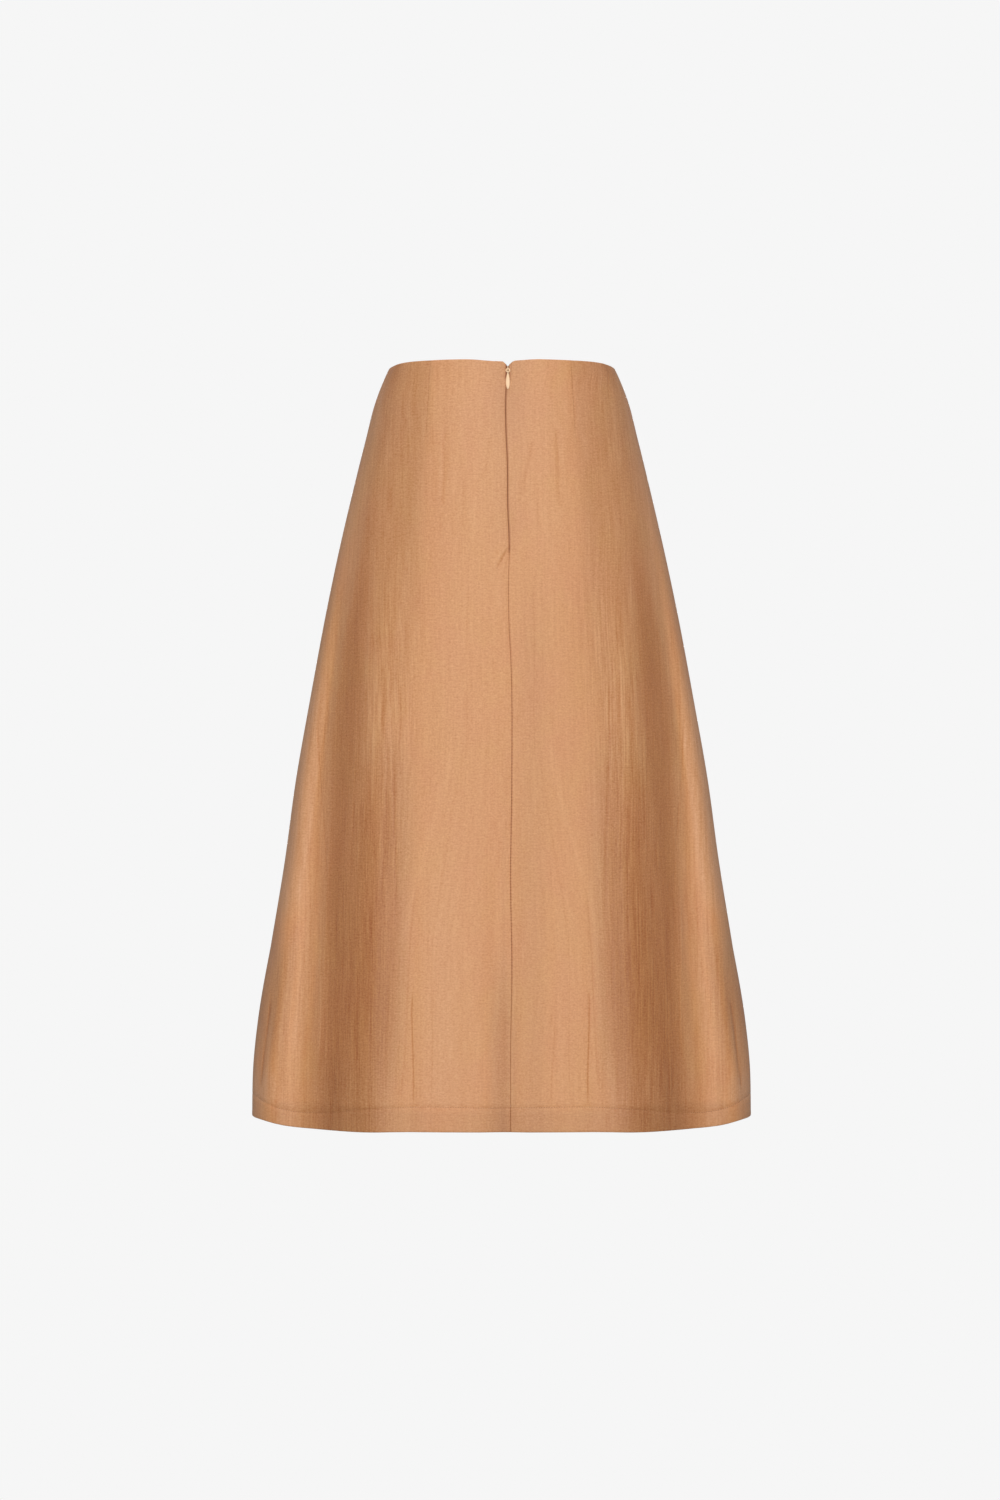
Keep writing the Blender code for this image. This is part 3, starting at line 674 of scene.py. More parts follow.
def edge_turn(across, depth, flat, flat_steps=FLAT_STEPS):
    """Cloth turned in round an edge, from its free end to its face: distances from the edge, and depths.

    The bend is half an ellipse, and behind it the cloth lies flat. Across may be a column, one value a row.
    """
    bend = np.linspace(math.pi, 0, BEND_STEPS + 1)
    lie = flat + (across - flat) * np.linspace(0, 1, flat_steps, endpoint=False)
    from_edge = np.concatenate([lie, across * (1 - np.sin(bend))], axis=-1)
    in_depth = np.concatenate([np.full(flat_steps, depth), depth / 2 * (1 - np.cos(bend))])
    return from_edge, in_depth


def between(count):
    """Shares of a stretch, evenly spaced, without its two ends."""
    return np.linspace(0, 1, count + 2)[1:-1]


def row_drops(cloth, rows, top, bottom, line_height):
    """Drops, depths and stitch grooves of all rows, from the waist turning to the hem turning.

    Drops have a value for each column too. Three rows close together follow the hem's line of stitches, and
    the rows round them make room.
    """
    waist_from, waist_in = edge_turn(WAIST_ROLL, cloth.turn_depth, cloth.waist_turn)
    hem_from, hem_in = edge_turn(HEM_ROLL, cloth.hem_depth, cloth.hem_turn, HEM_STEPS)
    hem_from, hem_in = hem_from[::-1], hem_in[::-1]
    share = between(rows)
    first, last = top + waist_from[-1], bottom - hem_from[0]
    stitch = 1 - cloth.hem_turn / LENGTH
    near = np.sort(np.argsort(np.abs(share - stitch))[:3])
    share[near] = stitch + np.array([-1, 0, 1]) * STITCH_ROWS / LENGTH
    middle = first + (last - first) * share[:, None]
    shift = bottom - line_height - middle[near[1]]
    room = np.interp(share, (stitch - STITCH_ROOM, share[near[0]], share[near[2]], 1), (0, 1, 1, 0))
    middle = middle + room[:, None] * shift
    drop = np.concatenate([top + waist_from[:, None], middle, bottom - hem_from[:, None]])
    inset = np.concatenate([waist_in, np.zeros(rows), hem_in])[:, None]
    groove = np.zeros(len(drop))
    groove[len(waist_from) + near[1]] = STITCH_GROOVE
    return drop, inset, groove[:, None]


def back_columns(cloth, panel, drop):
    """Angles and depths of a back panel's columns, from the centre seam's allowance to the side seam's."""
    roll = np.interp(drop, (ZIP_OPENING, ZIP_OPENING + ZIP_END_RUN), (ZIP_ROLL, SEAM_ROLL))
    seam_from, seam_in = edge_turn(roll, cloth.turn_depth, cloth.seam_allowance)
    extra = np.broadcast_to(BESIDE_SEAM, (len(drop), len(BESIDE_SEAM)))
    from_seam = seam_gap(drop) / 2 + np.concatenate([seam_from, extra], axis=1)
    near = angle_beside_seam(drop, panel.side * from_seam)
    side_from, side_in = edge_turn(SIDE_ROLL, cloth.turn_depth, cloth.seam_allowance)
    from_side = (SEAM_GAP / 2 + side_from[::-1]) / table_value(SECTIONS, "half_width", drop)
    far = panel.side * (math.pi / 2 - from_side)
    middle = near[:, -1:] + (far[:, :1] - near[:, -1:]) * between(panel.columns)
    angle = np.concatenate([near, middle, far], axis=1)
    inset = np.concatenate([seam_in, np.zeros(len(BESIDE_SEAM) + panel.columns), side_in[::-1]])[None]
    return (angle, inset) if panel.side > 0 else (angle[:, ::-1], inset[:, ::-1])


def front_columns(cloth, panel, drop):
    """Angles and depths of the front panel's columns, from the right seam's allowance to the left one's."""
    side_from, side_in = edge_turn(SIDE_ROLL, cloth.turn_depth, cloth.seam_allowance)
    first = math.pi / 2 + (SEAM_GAP / 2 + side_from) / table_value(SECTIONS, "half_width", drop)
    last = 2 * math.pi - first[:, ::-1]
    middle = first[:, -1:] + (last[:, :1] - first[:, -1:]) * between(panel.columns)
    inset = np.concatenate([side_in, np.zeros(panel.columns), side_in[::-1]])[None]
    return np.concatenate([first, middle, last], axis=1), inset


def cloth_panel(cloth, panel, finish):
    """One cut piece of cloth, with its allowances, waist turning and hem turned in.

    Each point is the skirt's face at its angle and drop, moved in by its turning's depth and out by the
    relief. The turned allowances end a little above the hem.
    """
    nominal, _, _ = row_drops(cloth, panel.rows, np.zeros(1), np.full(1, LENGTH), cloth.hem_turn)
    find_columns = back_columns if panel.face == BACK else front_columns
    angle, column_inset = find_columns(cloth, panel, nominal)
    top, low = angle[WAIST_ROW], angle[HEM_ROW]
    hem = hem_edge(low) - ALLOWANCE_LIFT * column_inset[0]
    drop, row_inset, groove = row_drops(cloth, panel.rows, waist_edge(top), hem, hem_height(low))
    bare = surface(angle, drop)
    place, half_width = bare[..., 0], table_value(SECTIONS, "half_width", drop)
    height = relief(panel.face, place, half_width, drop) * cloth.relief - groove
    points = bare + (height - column_inset - row_inset)[..., None] * outward(angle, drop)
    faces = grid_faces(*points.shape[:2])
    piece = new_piece(panel.name, points, faces, "skirt", "cloth", finish)
    steps = np.linalg.norm(np.diff(bare, axis=1), axis=-1)
    across = np.concatenate([np.zeros((len(bare), 1)), np.cumsum(steps, axis=1)], axis=1)
    across = across - across[:, panel.grain_column, None]
    set_cut_map(piece, across, -drop, faces)
    set_mark(piece, "fan", fan(across, place, half_width, drop))
    set_mark(piece, "ripple", ripple_mask(place, half_width, drop))
    set_mark(piece, "shade", shade_mask(panel.face, place, half_width, drop))
    set_mark(piece, "beside", place - seam_side(drop) + (panel.face == FRONT))
    thicken(piece, cloth.thickness)
    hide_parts(panel.node)
    return piece


def dart_flaps(cloth, finish):
    """The darts' folded intakes on the wrong side: each a thin triangle hanging from its dart's line."""
    shapes = []
    down = np.linspace(0, 1, 24)[:, None]
    out = np.linspace(0, 1, 6)[None]
    for dart in DARTS:
        share = (FLAP_TOP + (dart.tip_drop - FLAP_TOP) * down) / dart.tip_drop
        toward = -np.sign(dart.place_top)
        place = dart.place_top + (dart.place_tip - dart.place_top) * share
        place = place + toward * out * dart.intake * (FLAP_TAPER - share)
        drop = share * dart.tip_drop + 0 * place
        angle = angle_of_place(dart.face, place, drop)
        deep = cloth.thickness + FLAP_BEHIND + FLAP_SPREAD * out
        flap = surface(angle, drop) - deep[..., None] * outward(angle, drop)
        if toward * dart.face > 0:
            flap = flap[:, ::-1]
        shapes.append((flap, grid_faces(*flap.shape[:2])))
    points, faces = joined(*shapes)
    piece = new_piece("dart_intakes", points, faces, "skirt", "cloth", finish)
    set_cut_map(piece, points[:, 0], points[:, 2], faces)
    for mark, value in (("fan", 0), ("ripple", 0), ("shade", 0), ("beside", 1)):
        set_mark(piece, mark, np.full(len(points), value))
    thicken(piece, cloth.thickness)
    return piece


# ---- sewing ------------------------------------------------------

# How far threads rise from the cloth and sink into it are shares of the thread's radius.
TACK_DROP, TACK_START, TACK_LENGTH, TACK_SAG = ZIP_OPENING + 0.0004, -0.0014, 0.0026, 0.0003
STITCH_RISE, STITCH_SINK, TACK_RISE, TACK_SINK = 0.5, 0.9, 1.6, 1.0
SIDE_BREAK, LINE_LEFT, LINE_RIGHT = 0.008, 0.058, 0.070


def sewn_thread(angle, drop, step, thread, rise, sink, sides):
    """Stitches on the cloth: tubes that rise from it and sink back into it, thinner at their ends."""
    out = outward(angle, drop)
    bow = np.sin(math.pi * step)
    path = surface(angle, drop) + (thread * (rise * bow**0.6 - sink))[:, None] * out
    radius = np.broadcast_to(thread * np.abs(bow) ** 0.35, angle.shape)
    return many_grids(tube_points(path, out, radius, sides)[..., ::-1, :])


def stitch_row(angle, drop, sewing):
    """A row of stitches along a line of places on the cloth."""
    run = np.cumsum(np.linalg.norm(np.diff(surface(angle, drop), axis=0), axis=-1))
    run = np.concatenate([[0], run])
    starts = np.arange(sewing.gap, run[-1] - sewing.stitch, sewing.stitch + sewing.gap)
    step = np.linspace(0, 1, 7)
    at = starts[:, None] + sewing.stitch * step
    angle, drop = np.interp(at, run, angle), np.interp(at, run, drop)
    return sewn_thread(angle, drop, step, sewing.thread, STITCH_RISE, STITCH_SINK, 6)


def end_tack(thread):
    """The short stitch across the seam at the zip's end."""
    step = np.linspace(0, 1, 9)
    angle = angle_beside_seam(np.full(9, TACK_DROP), TACK_START + TACK_LENGTH * step)
    drop = TACK_DROP + TACK_SAG * np.sin(math.pi * step)
    return sewn_thread(angle[None], drop[None], step, thread, TACK_RISE, TACK_SINK, 8)


def hem_line(first, last):
    """Places along the hem's line of stitches."""
    angle = np.linspace(first, last, 900)
    return angle, hem_edge(angle) - hem_height(angle)


# ---- zip ---------------------------------------------------------


def zip_tape(name, zip_settings, side, node, finish):
    """One tape of the zip: a strip behind the cloth, with columns close together at its edges."""
    drop = np.linspace(TAPE_START, TAPE_END, 220)[:, None]
    line_drops, inner, behind = zip(*TAPE_LINES)
    inner, behind = np.interp(drop, line_drops, inner), np.interp(drop, line_drops, behind)
    share = np.concatenate([[0, 0.012, 0.03], np.linspace(0.06, 0.94, 14), [0.97, 0.988, 1]])
    distance = side * (inner + (TAPE_WIDTH - inner) * share)
    angle = angle_beside_seam(drop, distance)
    drop = drop + 0 * angle
    points = surface(angle, drop) - behind[..., None] * outward(angle, drop)
    if side < 0:
        points, distance = points[:, ::-1], distance[:, ::-1]
    faces = grid_faces(*points.shape[:2])
    piece = new_piece(name, points, faces, "skirt", "zip_tape", finish)
    set_cut_map(piece, distance, -drop, faces)
    thicken(piece, zip_settings.tape_thickness)
    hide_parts(node)
    return piece


def coil_turns(zip_settings):
    """The two meshed rows of coil: flattened loops of filament, taking turns from each side."""
    pitch, wire = zip_settings.coil_pitch, zip_settings.coil_wire
    drop = np.arange(COIL_START, COIL_END, pitch)
    side = np.repeat([-1.0, 1.0], len(drop))
    drop = np.concatenate([drop, drop + pitch / 2])
    turn = round_turn(12)
    half_across, half_deep = COIL_REACH - wire * 0.3, COIL_DEPTH - wire * 0.5
    across = side[:, None] * (COIL_MIDDLE + half_across * signed_power(np.cos(turn), COIL_SECTION[0]))
    deep = COIL_BEHIND + half_deep * signed_power(np.sin(turn), COIL_SECTION[1])
    lean = drop[:, None] + pitch * COIL_LEAN * np.sin(turn)
    angle = angle_beside_seam(lean, across)
    path = surface(angle, lean) - deep[None, :, None] * outward(angle, lean)
    along = unit(np.roll(path, -1, axis=1) - np.roll(path, 1, axis=1))
    down = np.broadcast_to(np.array([0.0, 0.0, -1.0]), path.shape)
    up = np.cross(along, down)
    ring = -round_turn(6)[:, None]
    points = path[:, :, None] + wire * (down[:, :, None] * np.cos(ring) + up[:, :, None] * np.sin(ring))
    return many_grids(points, wrap_rows=True)


def bail_centre():
    """The middle of the slider's bail, in front of the seam."""
    angle = angle_beside_seam(BAIL_DROP, 0)
    return surface(angle, BAIL_DROP) + BAIL_OUT * np.array([0, -1, 0])


def tab_lean():
    """How far the hanging tab leans out, to lie along the cloth below the bail."""
    foot = BAIL_DROP + 2 * RING_RADIUS + TAB_LENGTH
    angle = angle_beside_seam(foot, 0)
    run = bail_centre()[1] + BAIL_OUT - surface(angle, foot)[1]
    return math.atan2(run, foot - BAIL_DROP)


def ring_shape(radius, wire, flatness, segments, sides):
    """A torus in its own XY plane, with its wire flattened along Z."""
    turn, ring = round_turn(segments)[:, None], round_turn(sides)[None]
    reach = radius + wire * np.cos(ring)
    rise = wire * flatness * np.sin(ring) + 0 * turn
    points = np.stack([reach * np.cos(turn), reach * np.sin(turn), rise], axis=-1)
    return points, grid_faces(segments, sides, wrap_rows=True, wrap_columns=True)


def rounded_block(size, power, segments, sides):
    """A superellipsoid: signed powers of sines and cosines give a block with soft edges."""
    rise = np.linspace(math.pi / 2, -math.pi / 2, segments)[:, None]
    turn = round_turn(sides)[None]
    level = signed_power(np.cos(rise), power)
    x, y = level * signed_power(np.cos(turn), power), level * signed_power(np.sin(turn), power)
    z = signed_power(np.sin(rise), power) + 0 * turn
    return np.stack([x, y, z], axis=-1) * np.array(size) / 2, grid_faces(segments, sides, wrap_columns=True)


def tab_shape(thickness):
    """The drop-shaped plate: its half width is the root of a sine, and its section a soft superellipse."""
    t = (1 - np.cos(np.linspace(0, math.pi, 49)))[:, None] / 2
    half = TAB_WIDTH / 2 * np.sqrt(np.abs(np.sin(math.pi * t**TAB_FULLNESS)))
    turn = -round_turn(28)[None]
    x = half * signed_power(np.cos(turn), TAB_SECTION[0])
    z = np.minimum(thickness / 2, half + 1e-5) * signed_power(np.sin(turn), TAB_SECTION[1])
    y = -(2 * RING_RADIUS + t * TAB_LENGTH) + 0 * turn
    return np.stack([x, y, z], axis=-1), grid_faces(len(t), 28, wrap_columns=True)


def placed(shape, move, turn=0.0):
    """A shape turned about X by an angle and moved."""
    c, s = math.cos(turn), math.sin(turn)
    matrix = np.array([[1, 0, 0], [0, c, -s], [0, s, c]])
    return shape[0].reshape(-1, 3) @ matrix.T + np.array(move), shape[1]


# ---- finishes ----------------------------------------------------

# Layers of noise in the cloth, on its cut or along the fanned streaks: so many changes a metre across and
# down. Each gives heights in metres and tone, plainly and where the cloth is rippled. A positive tone darkens
# the high parts, a negative one the low parts. The threads' tone is the cloth's own uneven grain; the
# streaks darken their low parts, which is painted shade in their troughs.
LAYERS = table(
    "fanned across down detail height ripple_height tone ripple_tone rough",
    (False, 135, 600, 2, 0.00008, 0.0, 0.80, 0.0, 0.0),
    (False, 470, 560, 1, 0.00007, 0.0, 1.20, 0.0, 0.0),
    (True, 250, 9, 2, 0.00004, 0.00040, -0.06, -1.40, 0.06),
    (True, 560, 26, 2, 0.00003, 0.00016, -0.20, -1.25, 0.0),
)
# MARK_TONE paints the pressed lines into the colour, as painted shade and painted light. The pale line beside
# the seam is painted light on the turned edge's roll.
MARK_DEPTH, MARK_TONE, FLECK_TONE = 0.00045, 0.52, 0.13
PALE_LINE, PALE_LINE_WIDTH, PALE_LINE_TONE = 0.0024, 0.0008, -0.10
WANDER_SCALES, WANDER = (160, 160, 0), 2.0

# Patches of a warmer or yellower dye: where a noise is above low, full at high, up to the cast's most.
CASTS = table(
    "colour scales low high most",
    ("pink", (16, 11, 0), 0.30, 0.72, 1.0),
    ("yellow", (24, 20, 5), 0.45, 0.80, 0.55),
)

# Where tones start and are full, by depth of painted tone or by height on the cut. Painted light pales the
# colour where the tone is negative, painted shade deepens it from the half tone to the deep tone, and the
# grain is stronger in painted shade. Below the top the colour is tinted deeper, so the top stays paler as
# painted sheen of the light above.
PALE_SHADES, DEEP_SHADES, THREAD_SHADES, THREAD_GAIN = (0.05, -0.35), (0.30, 0.75), (0.1, 1.0), 0.5
UPPER_HEIGHTS, LOW_HEIGHTS, LOW_CHANGE, FLECK_RANGE = (-0.02, -0.34), (-0.700, -0.785), -0.35, (-0.5, 1.0)
UPPER_TINT, GLOSS_TINT, SHEEN_TINT = (1.0, 0.950, 0.835), (1.0, 0.93, 0.84, 1), (1.0, 0.90, 0.84, 1)
SHEEN_ROUGHNESS = 0.45

# The dark line at the centre back seam, painted shade in the seam's gap, and the turned edges beside it at
# the slider's neck, painted shadow where they turn in beside the tab.
ZIP_LINE, ZIP_LINE_PLACE, ZIP_LINE_WIDTH, SEWN_LINE_WIDTH = 0.58, 0.0003, 0.0011, 0.0009
SEWN_PITCH, SEWN_DOTS, SEWN_FROM = 0.0031, 0.45, (-ZIP_OPENING - 0.001, -ZIP_OPENING - 0.006)
SEWN_LINE, SEWN_DEEPER, SEWN_FAINTER = 0.14, 0.28, 0.30
DEEPER_FROM, FAINTER_FROM = (-0.220, -0.420), (-0.620, -0.700)
TURNED_EDGE_WIDTH = 0.0007
TURNED_EDGES = table(
    "beside none full depth",
    (-0.0018, -0.024, -0.018, 0.90),
    (0.0034, -0.031, -0.026, 0.45),
)
TWILL_PITCH, RIB_PITCH = 0.00045, 0.0009


class Wire:
    """A number that varies over a surface. Arithmetic on wires adds Math nodes to their bench."""

    def __init__(self, bench, socket):
        self.bench = bench
        self.socket = socket

    def maths(self, operation, *values):
        return self.bench.wire("ShaderNodeMath", {"operation": operation}, dict(enumerate(values)))

    def __add__(self, other):
        return self.maths("ADD", self, other)

    def __sub__(self, other):
        return self.maths("SUBTRACT", self, other)

    def __rsub__(self, other):
        return self.maths("SUBTRACT", other, self)

    def __mul__(self, other):
        return self.maths("MULTIPLY", self, other)

    def __truediv__(self, other):
        return self.maths("DIVIDE", self, other)

    def __abs__(self):
        return self.maths("ABSOLUTE", self)

    __radd__ = __add__
    __rmul__ = __mul__

    def sine(self):
        return self.maths("SINE", self)

    def bell(self):
        """A gaussian: 1 at 0, falling to both sides."""
        return self.maths("EXPONENT", self * self * -1.0)

    def between(self, low, high, way="SMOOTHSTEP"):
        """0 at low, 1 at high, held outside them."""
        return self.bench.wire(
            "ShaderNodeMapRange", {"clamp": True, "interpolation_type": way},
            {"Value": self, "From Min": low, "From Max": high},
        )


class Bench:
    """A material being made: its nodes, and the shader that its patterns feed."""

    def __init__(self, name, **constants):
        self.material = bpy.data.materials.new(name)
        self.material.use_nodes = True
        self.tree = self.material.node_tree
        self.shader = self.tree.nodes["Principled BSDF"]
        for socket, value in constants.items():
            self.shader.inputs[socket.replace("_", " ")].default_value = value

    def node(self, kind, settings=None, inputs=None):
        """Adds a node, sets it up, then gives its sockets their values or links."""
        node = self.tree.nodes.new(kind)
        for name, value in (settings or {}).items():
            setattr(node, name, value)
        for name, value in (inputs or {}).items():
            self.feed(node.inputs[name], value)
        return node

    def feed(self, socket, value):
        """Links a wire to a socket, or sets its value."""
        if isinstance(value, Wire):
            self.tree.links.new(value.socket, socket)
        elif socket.type == "RGBA":
            socket.default_value = (*value[:3], 1)
        else:
            socket.default_value = value

    def wire(self, kind, settings=None, inputs=None, output=0):
        """Adds a node and gives one of its outputs."""
        return Wire(self, self.node(kind, settings, inputs).outputs[output])

    def place(self):
        """The place in the object's own metres."""
        return self.wire("ShaderNodeTexCoord", {}, {}, "Object")

    def cut(self):
        """The place on the piece's cut, in metres."""
        return self.wire("ShaderNodeUVMap", {"uv_map": "cut"})

    def axes(self, place):
        """The three numbers of a place."""
        parts = self.node("ShaderNodeSeparateXYZ", {}, {0: place})
        return [Wire(self, parts.outputs[axis]) for axis in "XYZ"]

    def noise(self, place, scales, detail=2.0, roughness=0.5):
        """Noise from 0 to 1, stretched by a scale for each way."""
        stretched = self.wire("ShaderNodeVectorMath", {"operation": "MULTIPLY"}, {0: place, 1: scales})
        return self.wire(
            "ShaderNodeTexNoise", {"noise_dimensions": "3D"},
            {"Vector": stretched, "Scale": 1.0, "Detail": detail, "Roughness": roughness},
        )

    def blend(self, share, first, second, way="MIX"):
        """A colour between two, by a share, or the first tinted by the second."""
        return self.wire(
            "ShaderNodeMix", {"data_type": "RGBA", "blend_type": way}, {0: share, 6: first, 7: second}, 2
        )

    def finish(self, height=None, **inputs):
        """Feeds the shader, with a height in metres as its bump."""
        if height is not None:
            bump = {"Strength": 1.0, "Distance": 1.0, "Height": height}
            inputs["Normal"] = self.wire("ShaderNodeBump", {}, bump)
        for socket, value in inputs.items():
            self.feed(self.shader.inputs[socket.replace("_", " ")], value)
        return self.material


def darker(colour, share):
    """A colour with each of its parts made less."""
    return tuple(part * share for part in colour)


def pressed_marks(bench, lines):
    """Fine marks pressed into the cloth: gaussians of the distance from each line, fading at their ends."""
    across, _, height = bench.axes(bench.place())
    drop, aside = height * -1.0, abs(across + UNEVEN_SIDES)
    total = 0.0
    for line in lines:
        length = line.bottom - line.top
        slope = (line.place_bottom - line.place_top) / length
        middle = drop * slope + (line.place_top - line.top * slope)
        if line.sway:
            middle = ((drop - line.top) * (2 * math.pi / length)).sine() * line.sway + middle
        mark = (((aside if line.both else across) - middle) / line.width).bell()
        start = drop.between(line.top - 0.001, line.top + length * LINE_FADE)
        mark = mark * start * drop.between(line.bottom, line.bottom - length * LINE_FADE) * line.strength
        if line.pricks:
            mark = mark * ((drop * (2 * math.pi / PRICK_PITCH)).sine() * line.pricks + 1.0)
        total = mark + total
    return total


def painted_seam_shade(beside, down):
    """Depth of painted shade at the centre back seam: even along the zip, then dotted, and faint at the hem.

    At the slider's neck two more lines of painted shadow lie beside it, where the folded edges turn in.
    """
    sewn = down.between(*SEWN_FROM)
    dots = (down * (2 * math.pi / SEWN_PITCH)).sine() * SEWN_DOTS + 1.0
    deeper, fainter = down.between(*DEEPER_FROM) * SEWN_DEEPER, down.between(*FAINTER_FROM) * SEWN_FAINTER
    below = (deeper - fainter + SEWN_LINE) * dots
    width = sewn * (SEWN_LINE_WIDTH - ZIP_LINE_WIDTH) + ZIP_LINE_WIDTH
    line = ((beside - ZIP_LINE_PLACE) / width).bell() * (sewn * (below - ZIP_LINE) + ZIP_LINE)
    for edge in TURNED_EDGES:
        shown = down.between(edge.none, edge.full) * edge.depth
        line = line + ((beside - edge.beside) / TURNED_EDGE_WIDTH).bell() * shown
    return line


def woven_cloth(name, cloth, lines):
    """Plain weave with flecks, slubs and long fine ripples, on the cut's own map, with a soft dry sheen.

    Fine tone is in the colour as well as in the height. The flecks and slubs are the cloth's own uneven
    grain; the darker troughs of the streaks, the pressed grooves and the seam's line are painted shade, the
    pale ridges and the pale line beside the seam painted light, and the flutes carry painted shade and light.
    """
    bench = Bench(
        name,
        Specular_IOR_Level=cloth.gloss,
        Specular_Tint=GLOSS_TINT,
        Sheen_Weight=cloth.sheen,
        Sheen_Roughness=SHEEN_ROUGHNESS,
        Sheen_Tint=SHEEN_TINT,
    )
    cut = bench.cut()
    across, down, _ = bench.axes(cut)
    start, ripple, shade, beside = (
        bench.wire("ShaderNodeAttribute", {"attribute_name": mark}, {}, "Fac")
        for mark in ("fan", "ripple", "shade", "beside")
    )
    fanned = bench.wire("ShaderNodeCombineXYZ", {}, {"X": start, "Y": down})
    wander = bench.noise(cut, WANDER_SCALES) * WANDER
    turns = math.pi / cloth.thread_pitch
    weave = (across * turns + wander).sine() * (down * turns + wander).sine()
    marks = pressed_marks(bench, lines)
    height = weave * cloth.weave_height - marks * MARK_DEPTH
    # A pale line beside the seam: painted light on the turned edge's roll.
    painted_lit_edge = ((beside - PALE_LINE) / PALE_LINE_WIDTH).bell() * PALE_LINE_TONE
    flecks = marks * MARK_TONE + painted_lit_edge + FLECK_TONE
    threads = (shade.between(*THREAD_SHADES) * THREAD_GAIN + 1.0) * cloth.grain
    rough = cloth.roughness
    for layer in LAYERS:
        noise = bench.noise(fanned if layer.fanned else cut, (layer.across, layer.down, 0), layer.detail, 0.6)
        tone = ripple * layer.ripple_tone + layer.tone if layer.fanned else threads * layer.tone
        height = noise * (ripple * layer.ripple_height + layer.height) + height
        flecks = (noise - 0.5) * tone + flecks
        if layer.rough:
            rough = noise * layer.rough + rough
    toned = cloth.colour
    for cast in CASTS:
        patches = bench.noise(cut, cast.scales, 3, 0.55).between(cast.low, cast.high) * cast.most
        toned = bench.blend(patches, toned, getattr(cloth, cast.colour))
    # Painted light where the tone is negative.
    toned = bench.blend(shade.between(*PALE_SHADES), toned, cloth.pale)
    # Painted sheen of the light above: below the top the colour is tinted deeper, so the top stays paler.
    toned = bench.blend(down.between(*UPPER_HEIGHTS), toned, UPPER_TINT, "MULTIPLY")
    # Painted shade in the flutes and folds, from the half tone to the deep tone, less deep near the hem.
    low = down.between(*LOW_HEIGHTS) * LOW_CHANGE + 1.0
    deepest = bench.blend(shade.between(*DEEP_SHADES) * low, cloth.shadow, cloth.deep)
    toned = bench.blend((shade * cloth.shade).between(0.0, 1.0, "LINEAR"), toned, deepest)
    # Flecks: the cloth's own grain, with painted shade in the streaks' troughs and pressed grooves.
    palest = tuple(1.5 - 0.5 * part for part in cloth.fleck)
    fleck = bench.blend(flecks.between(*FLECK_RANGE, "LINEAR"), palest, cloth.fleck)
    colour = bench.blend(1.0, toned, fleck, "MULTIPLY")
    # Painted shade along the centre back seam, and painted shadow beside the tab.
    colour = bench.blend(painted_seam_shade(beside, down), colour, cloth.seam, "MULTIPLY")
    return bench.finish(height, Base_Color=colour, Roughness=rough)


def tape_finish(zip_settings):
    """Narrow ribbed tape: ribs along it and a fine twill across, with slightly uneven dye."""
    bench = Bench("zip_tape_cloth", Specular_IOR_Level=0.3, Sheen_Weight=0.1)
    cut = bench.cut()
    across, down, _ = bench.axes(cut)
    twill = ((across + down) * (math.pi / TWILL_PITCH)).sine()
    ribs = (across * (2 * math.pi / RIB_PITCH)).sine()
    uneven = bench.noise(cut, (260, 120, 0), 3)
    dye = uneven.between(0.3, 0.7) * 0.5 + twill * 0.12 + 0.2
    colour = bench.blend(dye, zip_settings.tape_colour, darker(zip_settings.tape_colour, 0.62))
    return bench.finish(twill * 0.00004 + ribs * 0.00005, Base_Color=colour, Roughness=uneven * 0.1 + 0.75)


def filament_finish(zip_settings):
    """Smooth nylon filament, faintly uneven in tone."""
    bench = Bench("zip_filament", Specular_IOR_Level=0.5)
    uneven = bench.noise(bench.place(), (900, 900, 900))
    colour = bench.blend(uneven, zip_settings.tape_colour, darker(zip_settings.tape_colour, 0.75))
    return bench.finish(Base_Color=colour, Roughness=uneven * 0.15 + 0.35)


def enamel_finish(zip_settings):
    """Baked enamel with faint orange peel and a little wear; behind the seam, dull and in painted shade."""
    bench = Bench("zip_enamel_coat", Specular_IOR_Level=0.55, Coat_Roughness=0.12)
    place, enamel = bench.place(), zip_settings.enamel_colour
    peel = bench.noise(place, (2600, 2600, 2600))
    wear = bench.noise(place, (420, 420, 420), 3).between(0.55, 0.8)
    # Behind the bail the enamel takes a dark brown from the tape's colour: painted shade inside the seam.
    bail_front = bail_centre()[1]
    behind = bench.axes(place)[1].between(bail_front + 0.0008, bail_front + 0.0018)
    colour = bench.blend(wear * 0.35, enamel, darker(enamel, 0.72))
    colour = bench.blend(behind, colour, darker(zip_settings.tape_colour, 0.42))
    rough, coat = wear * 0.12 + behind * 0.35 + 0.30, behind * -0.35 + 0.35
    return bench.finish(peel * 0.00001, Base_Color=colour, Roughness=rough, Coat_Weight=coat)


def thread_finish(sewing):
    """Matt twisted sewing thread."""
    bench = Bench("sewing_thread", Specular_IOR_Level=0.3, Sheen_Weight=0.15)
    fibres = bench.noise(bench.place(), (3000, 3000, 3000))
    colour = bench.blend(fibres, sewing.thread_colour, darker(sewing.thread_colour, 0.6))
    return bench.finish(fibres * 0.00003, Base_Color=colour, Roughness=fibres * 0.1 + 0.75)


# ---- settings ----------------------------------------------------


def length_prop(name, description, default):
    """A length in metres."""
    return bpy.props.FloatProperty(
        name=name, description=description, default=default, min=0, unit="LENGTH", precision=5
    )


def share_prop(name, description, default, most=1.0):
    """A share, or a strength where its most is above 1."""
    return bpy.props.FloatProperty(name=name, description=description, default=default, min=0, max=most)


def power_prop(name, description, default):
    """A lamp's power in watts."""
    return bpy.props.FloatProperty(name=name, description=description, default=default, min=0, unit="POWER")


